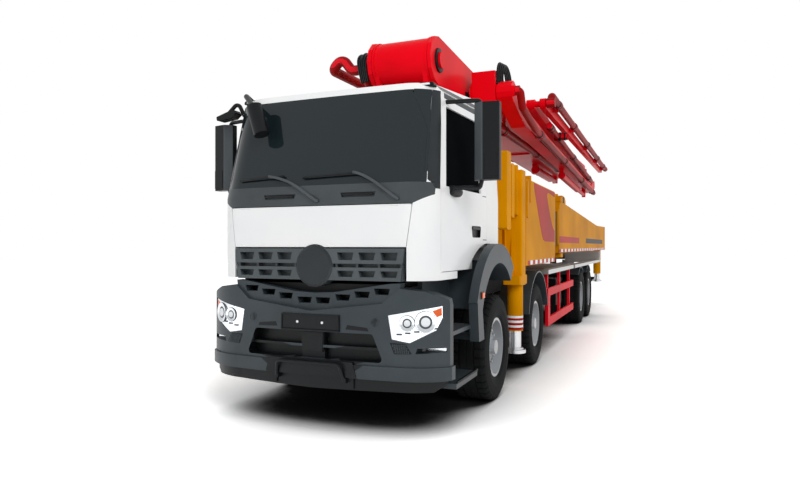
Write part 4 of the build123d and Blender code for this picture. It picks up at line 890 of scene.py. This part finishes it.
# %% Body fittings
POSTS = ((rectangle(1.66, 1.58, 1.72, 2.14), 1.236), (rectangle(1.99, 1.40, 2.058, 2.372), 1.228))
LUG = [(1.50, 2.262), (0.86, 2.262), (0.88, 2.325), (0.96, 2.372), (1.10, 2.392), (1.26, 2.385), (1.42, 2.34)]
PIN_END = [(0, 0.05), (0.034, 0.05), (0.034, 0.03)]
LEG_Y, LEG_TAPE, TAPE_PITCH = 1.140, [(0, 0.0935), (0.026, 0.0935)], 0.055
for side, sign in SIGNS.items():
    beam = f"rear_beam_{side}"
    shadow = slab(1.722, 1.988, *outward(sign, 1.19, 1.208), 1.57, 2.10)
    prisms(f"hinge_shadow_{side}", [shadow], black_plastic, "truck", 0)
    posts = [on_side(sign, outline, 1.17, face_y) for outline, face_y in POSTS]
    prisms(f"hinge_post_{side}", posts, yellow_paint, "truck", 4)
    prisms(f"hinge_eye_{side}", [on_side(sign, LUG, 1.13, 1.225)], yellow_paint, beam, 10)
    pin_end = ((1.16, sign * 1.20, 2.318), (0, sign, 0), PIN_END)
    turnings(f"hinge_pin_end_{side}", [pin_end], stripe_grey, beam, 24)
    leg_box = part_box(f"front_leg_{side}")
    leg_x = (leg_box[0][0] + leg_box[1][0]) / 2
    for colour, paint, offset in TAPES:
        start = 0.575 + 0.027 * offset
        bands = [((leg_x, sign * LEG_Y, start + TAPE_PITCH * k), UP, LEG_TAPE) for k in range(3)]
        turnings(f"leg_{colour}_tape_{side}", bands, paint, f"front_beam_{side}", 28)
print("body fittings made")

# %% [markdown]
# The boom carries the busy part. Each clamp on a delivery pipe has a black rubber collar on either
# side and a toggle lever on top. Hydraulic hoses arch over the first fold and over the third arm's
# pivot, and run in pairs along the first and third arms.

# %% Boom fittings
PIPE_RUNS = {  # pipe radius, side, and the clamps' places along it
    1: (0.062, -0.540, ((2.5, 3.673), (0.0, 3.651), (-3.0, 3.624), (-5.6, 3.605))),
    2: (0.062, 0.575, ((2.6, 3.264), (0.0, 3.273), (-2.5, 3.281), (-5.0, 3.289))),
    3: (0.050, 1.060, ((2.3, 3.215), (-0.2, 3.121), (-2.8, 3.024), (-5.0, 2.941))),
    4: (0.050, 1.004, ((1.0, 3.55), (-1.8, 3.412), (-4.7, 3.27))),
    5: (0.055, 1.185, ((1.4, 3.835), (-0.5, 3.819), (-2.7, 3.798), (-4.9, 3.779), (-6.5, 3.765))),
}
COLLAR_GAP, COLLAR_WIDTH, LEVER_R = 0.055, 0.05, 0.008
for number, (radius, y, places) in PIPE_RUNS.items():
    (xa, za), (xb, zb) = places[0], places[-1]
    along = Vector((xb - xa, 0, zb - za)).normalized()
    rim, crown = radius + 0.003, radius + 0.011
    profile = [(0, rim), (0.004, crown), (COLLAR_WIDTH - 0.004, crown), (COLLAR_WIDTH, rim)]
    collars, levers = [], []
    for x, z in places:
        for step in (COLLAR_GAP, -COLLAR_GAP - COLLAR_WIDTH):
            collars.append((tuple(Vector((x, y, z)) + along * step), along, profile))
        top = z + radius
        levers.append((LEVER_R, [(x - 0.02, y - radius - 0.02, z), (x - 0.02, y, top + 0.035),
                                 (x + 0.03, y, top + 0.045), (x + 0.13, y, top + 0.03)]))
    turnings(f"pipe_collars_{number}", collars, black_plastic, f"arm_{number}", 28)
    tubes(f"toggle_levers_{number}", levers, coupling_paint, f"arm_{number}")
BRANCH_X, BRANCH_Z = 0.300, 3.515
branch_rows = [
    ((BRANCH_X, 1.02, BRANCH_Z), LEFTWARD, [(0, 0.070), (0.004, 0.078), (0.046, 0.078), (0.05, 0.070)]),
    ((BRANCH_X, 1.120, BRANCH_Z), LEFTWARD, [(0, 0.070), (0.003, 0.074), (0.024, 0.074), (0.027, 0.070)]),
]
turnings("branch_sleeve", branch_rows, black_plastic, "arm_4", 32)
plug = ((BRANCH_X, 1.105, BRANCH_Z), LEFTWARD, [(0, 0.051), (0.01, 0.051)])
turnings("branch_plug", [plug], black_plastic, "arm_4", 28)
print("pipes fitted")

# %% Hydraulic hoses
bundle = []
for k in range(5):
    y = -0.470 - 0.030 * k
    lift = 0.012 * (k % 3)
    bundle.append((0.015, [(5.06 - 0.02 * k, y, 3.52), (5.13 - 0.015 * k, y, 3.64), (5.11, y, 3.78 + lift),
                           (4.96, y, 3.868 + lift), (4.86, y, 3.80 + lift), (4.86, y, 3.72)]))
tubes("drum_hoses", bundle, black_plastic, "turret")
arch = []
for k in range(4):
    x, y = 3.83 - 0.045 * k, 0.790 + 0.012 * k
    arch.append((0.014, [(x, y, 3.56), (x + 0.05, y, 3.78), (x, y + 0.01, 3.935), (x - 0.14, y + 0.03, 3.925),
                         (x - 0.24, y + 0.05, 3.78), (x - 0.27, y + 0.05, 3.66)]))
tubes("fold_hoses", arch, black_plastic, "arm_2")
ARM_HOSES = {  # arm: a place outside its left face, then the ends (x, z) of its hose pair
    1: (0.56, (3.90, 3.560), (-5.30, 3.520)), 3: (1.24, (2.20, 3.262), (-4.90, 2.995)),
}
HOSE_STATIONS, HOSE_DROP, HOSE_SWAY, HOSE_R = 24, 0.034, 0.006, 0.012
for number, (outside, first, last) in ARM_HOSES.items():
    runs = []
    for drop in (0.0, HOSE_DROP):
        route = []
        for k in range(HOSE_STATIONS + 1):
            x = first[0] + (last[0] - first[0]) * k / HOSE_STATIONS
            z = first[1] + (last[1] - first[1]) * k / HOSE_STATIONS - drop
            z += HOSE_SWAY * math.sin(1.9 * k + 40 * drop)
            place, normal = find_skin(f"arm_{number}", (x, outside, z), (0, -1, 0))
            if place is not None and abs(normal.y) > 0.9:
                route.append((x, place.y + HOSE_R, z))
        runs.append((HOSE_R, route))
    tubes(f"arm_hoses_{number}", runs, black_plastic, f"arm_{number}")
DRUM_X, DRUM_Z, DRUM_FACE = 4.94, 3.70, 0.369
PIN_RING = [(0, 0.140), (0.022, 0.136), (0.026, 0.108)]
pin_rings = [((DRUM_X, sign * DRUM_FACE, DRUM_Z), (0, sign, 0), PIN_RING) for sign in SIGNS.values()]
turnings("drum_pin_rings", pin_rings, black_plastic, "arm_1", 36)
print("hoses routed")

# %% [markdown]
# The tail follows common practice: an underrun bar hung from the frame's rails, with a lamp cluster
# at each end and striped tape between them.

# %% Tail
BAR_X, BAR_Z = -6.300, 0.640
BAR_HEIGHT = (BAR_Z - 0.05, BAR_Z + 0.05)
LENSES = {"red": ((0.755, 0.860), (0.985, 1.085)), "amber": ((0.870, 0.975),)}
underrun = [slab(BAR_X - 0.03, BAR_X + 0.03, -1.12, 1.12, *BAR_HEIGHT)]
tail_boxes = []
for sign in SIGNS.values():
    underrun.append(slab(BAR_X, BAR_X + 0.07, *outward(sign, 0.33, 0.40), BAR_Z, 0.960))
    low, high = outward(sign, 0.74, 1.10)
    tail_boxes.append(slab(BAR_X - 0.075, BAR_X - 0.028, low, high, BAR_Z - 0.065, BAR_Z + 0.065))
prisms("underrun_bar", underrun, chassis_paint, "truck", 5)
prisms("tail_lamp_boxes", tail_boxes, black_plastic, "truck", 6)
for colour, paint in (("red", red_plastic), ("amber", orange_plastic)):
    rows = [slab(BAR_X - 0.086, BAR_X - 0.070, *outward(sign, *span), *BAR_HEIGHT)
            for sign in SIGNS.values() for span in LENSES[colour]]
    prisms(f"tail_{colour}_lenses", rows, paint, "truck", 5)
tail_tape = [((BAR_X - 0.031, -0.65 + 0.10 * k, BAR_Z), (-1, 0, 0), LEFTWARD) for k in range(14)]
for colour, paint, offset in TAPES:
    places = tail_tape[offset::2]
    repeat(f"{colour}_tail_tape", BLOCK_TREE, {"Size": (0.098, 0.07, FILM)}, places, paint, "truck")
print("tail fitted")

# %% [markdown]
# The camera stands at head height, a few metres off the left front corner, with a short lens that
# makes the cab loom. A large soft key, a weaker fill, a lamp behind and a pale world light it plainly.
# The floor looks white to the camera, and an occlusion test paints a shadow into its colour where the truck
# closes off the sky above it.

# %% Camera, floor and light
WORLD_LIGHT = 0.5
FLOOR_GAIN = 1.1 / WORLD_LIGHT
SHADOW_REACH = 3.0
FLOOR_REACH = 60
LAMPS_AIM = (1, 0, 1.6)
CAMERA_AT = Vector((11.831, 2.781, 1.563))
CAMERA_HEADING = math.radians(22.79)
LENS_MM, SENSOR_MM, LENS_SHIFT = 28.4, 36.0, 0.0071

camera_data = bpy.data.cameras.new("camera")
camera_data.lens, camera_data.sensor_width, camera_data.shift_y = LENS_MM, SENSOR_MM, LENS_SHIFT
camera = bpy.data.objects.new("camera", camera_data)
bpy.context.collection.objects.link(camera)
camera.location = CAMERA_AT
camera.rotation_euler = (math.radians(90), 0, math.radians(90) + CAMERA_HEADING)
bpy.context.scene.camera = camera

world = bpy.data.worlds.new("pale_studio")
bpy.context.scene.world = world
world.use_nodes = True
sky = world.node_tree
sky.nodes.clear()


def seen_directly(tree):
    """1 for a ray from the camera, a reflection or a pane, and 0 for light that bounces on."""
    rays = add_node(tree, "ShaderNodeLightPath").outputs
    seen = rays["Is Camera Ray"]
    for kind in ("Is Glossy Ray", "Is Transmission Ray"):
        seen = add_node(tree, "ShaderNodeMath", {0: seen, 1: rays[kind]}, operation="MAXIMUM")
    return seen


dim = add_node(sky, "ShaderNodeBackground", {"Color": (1, 1, 1, 1), "Strength": WORLD_LIGHT})
bright = add_node(sky, "ShaderNodeBackground", {"Color": (1, 1, 1, 1), "Strength": 1.0})
either = add_node(sky, "ShaderNodeMixShader", {0: seen_directly(sky), 1: dim, 2: bright})
add_node(sky, "ShaderNodeOutputWorld", {"Surface": either})

floor_material, tree = start_material("pale_studio_floor")
plain = add_node(tree, "ShaderNodeBsdfDiffuse", {"Color": linear("#e8e8e8")})
# Painted shadow: the occlusion test darkens the floor's colour, for camera rays and reflections, down to near
# black under the truck.
shade = add_node(tree, "ShaderNodeAmbientOcclusion", {"Distance": SHADOW_REACH}, samples=32)
painted_floor_shadow = add_node(
    tree, "ShaderNodeMapRange",
    {"Value": shade.outputs["AO"], "From Min": 0.25, "From Max": 0.8, "To Min": 0.02, "To Max": FLOOR_GAIN},
)
seen_floor = add_node(tree, "ShaderNodeBsdfDiffuse", {"Color": painted_floor_shadow})
either = add_node(tree, "ShaderNodeMixShader", {0: seen_directly(tree), 1: plain, 2: seen_floor})
finish_material(tree, either)
floor_corners = [(x, y, 0) for x, y in rectangle(-FLOOR_REACH, -FLOOR_REACH, FLOOR_REACH, FLOOR_REACH)]
floor_mesh = mesh_of("studio_floor", floor_corners, [(0, 1, 2, 3)])
floor = bpy.data.objects.new("studio_floor", floor_mesh)
floor_mesh.materials.append(floor_material)
bpy.context.collection.objects.link(floor)

LAMPS = (  # name, place, size in metres, watts
    ("key_softbox", (15, 9, 9), 7, 950),
    ("fill_softbox", (16, -9, 6), 8, 380),
    ("rear_softbox", (-12, 9, 9), 9, 350),
)
for name, place, size, watts in LAMPS:
    lamp_data = bpy.data.lights.new(name, "AREA")
    lamp_data.size, lamp_data.energy = size, watts
    lamp = bpy.data.objects.new(name, lamp_data)
    lamp.location = place
    lamp.visible_glossy = False
    lamp.rotation_euler = (Vector(LAMPS_AIM) - Vector(place)).to_track_quat("-Z", "Y").to_euler()
    bpy.context.collection.objects.link(lamp)
bpy.context.scene.view_settings.view_transform = "Standard"
print("camera, floor and", len(LAMPS), "lamps set")
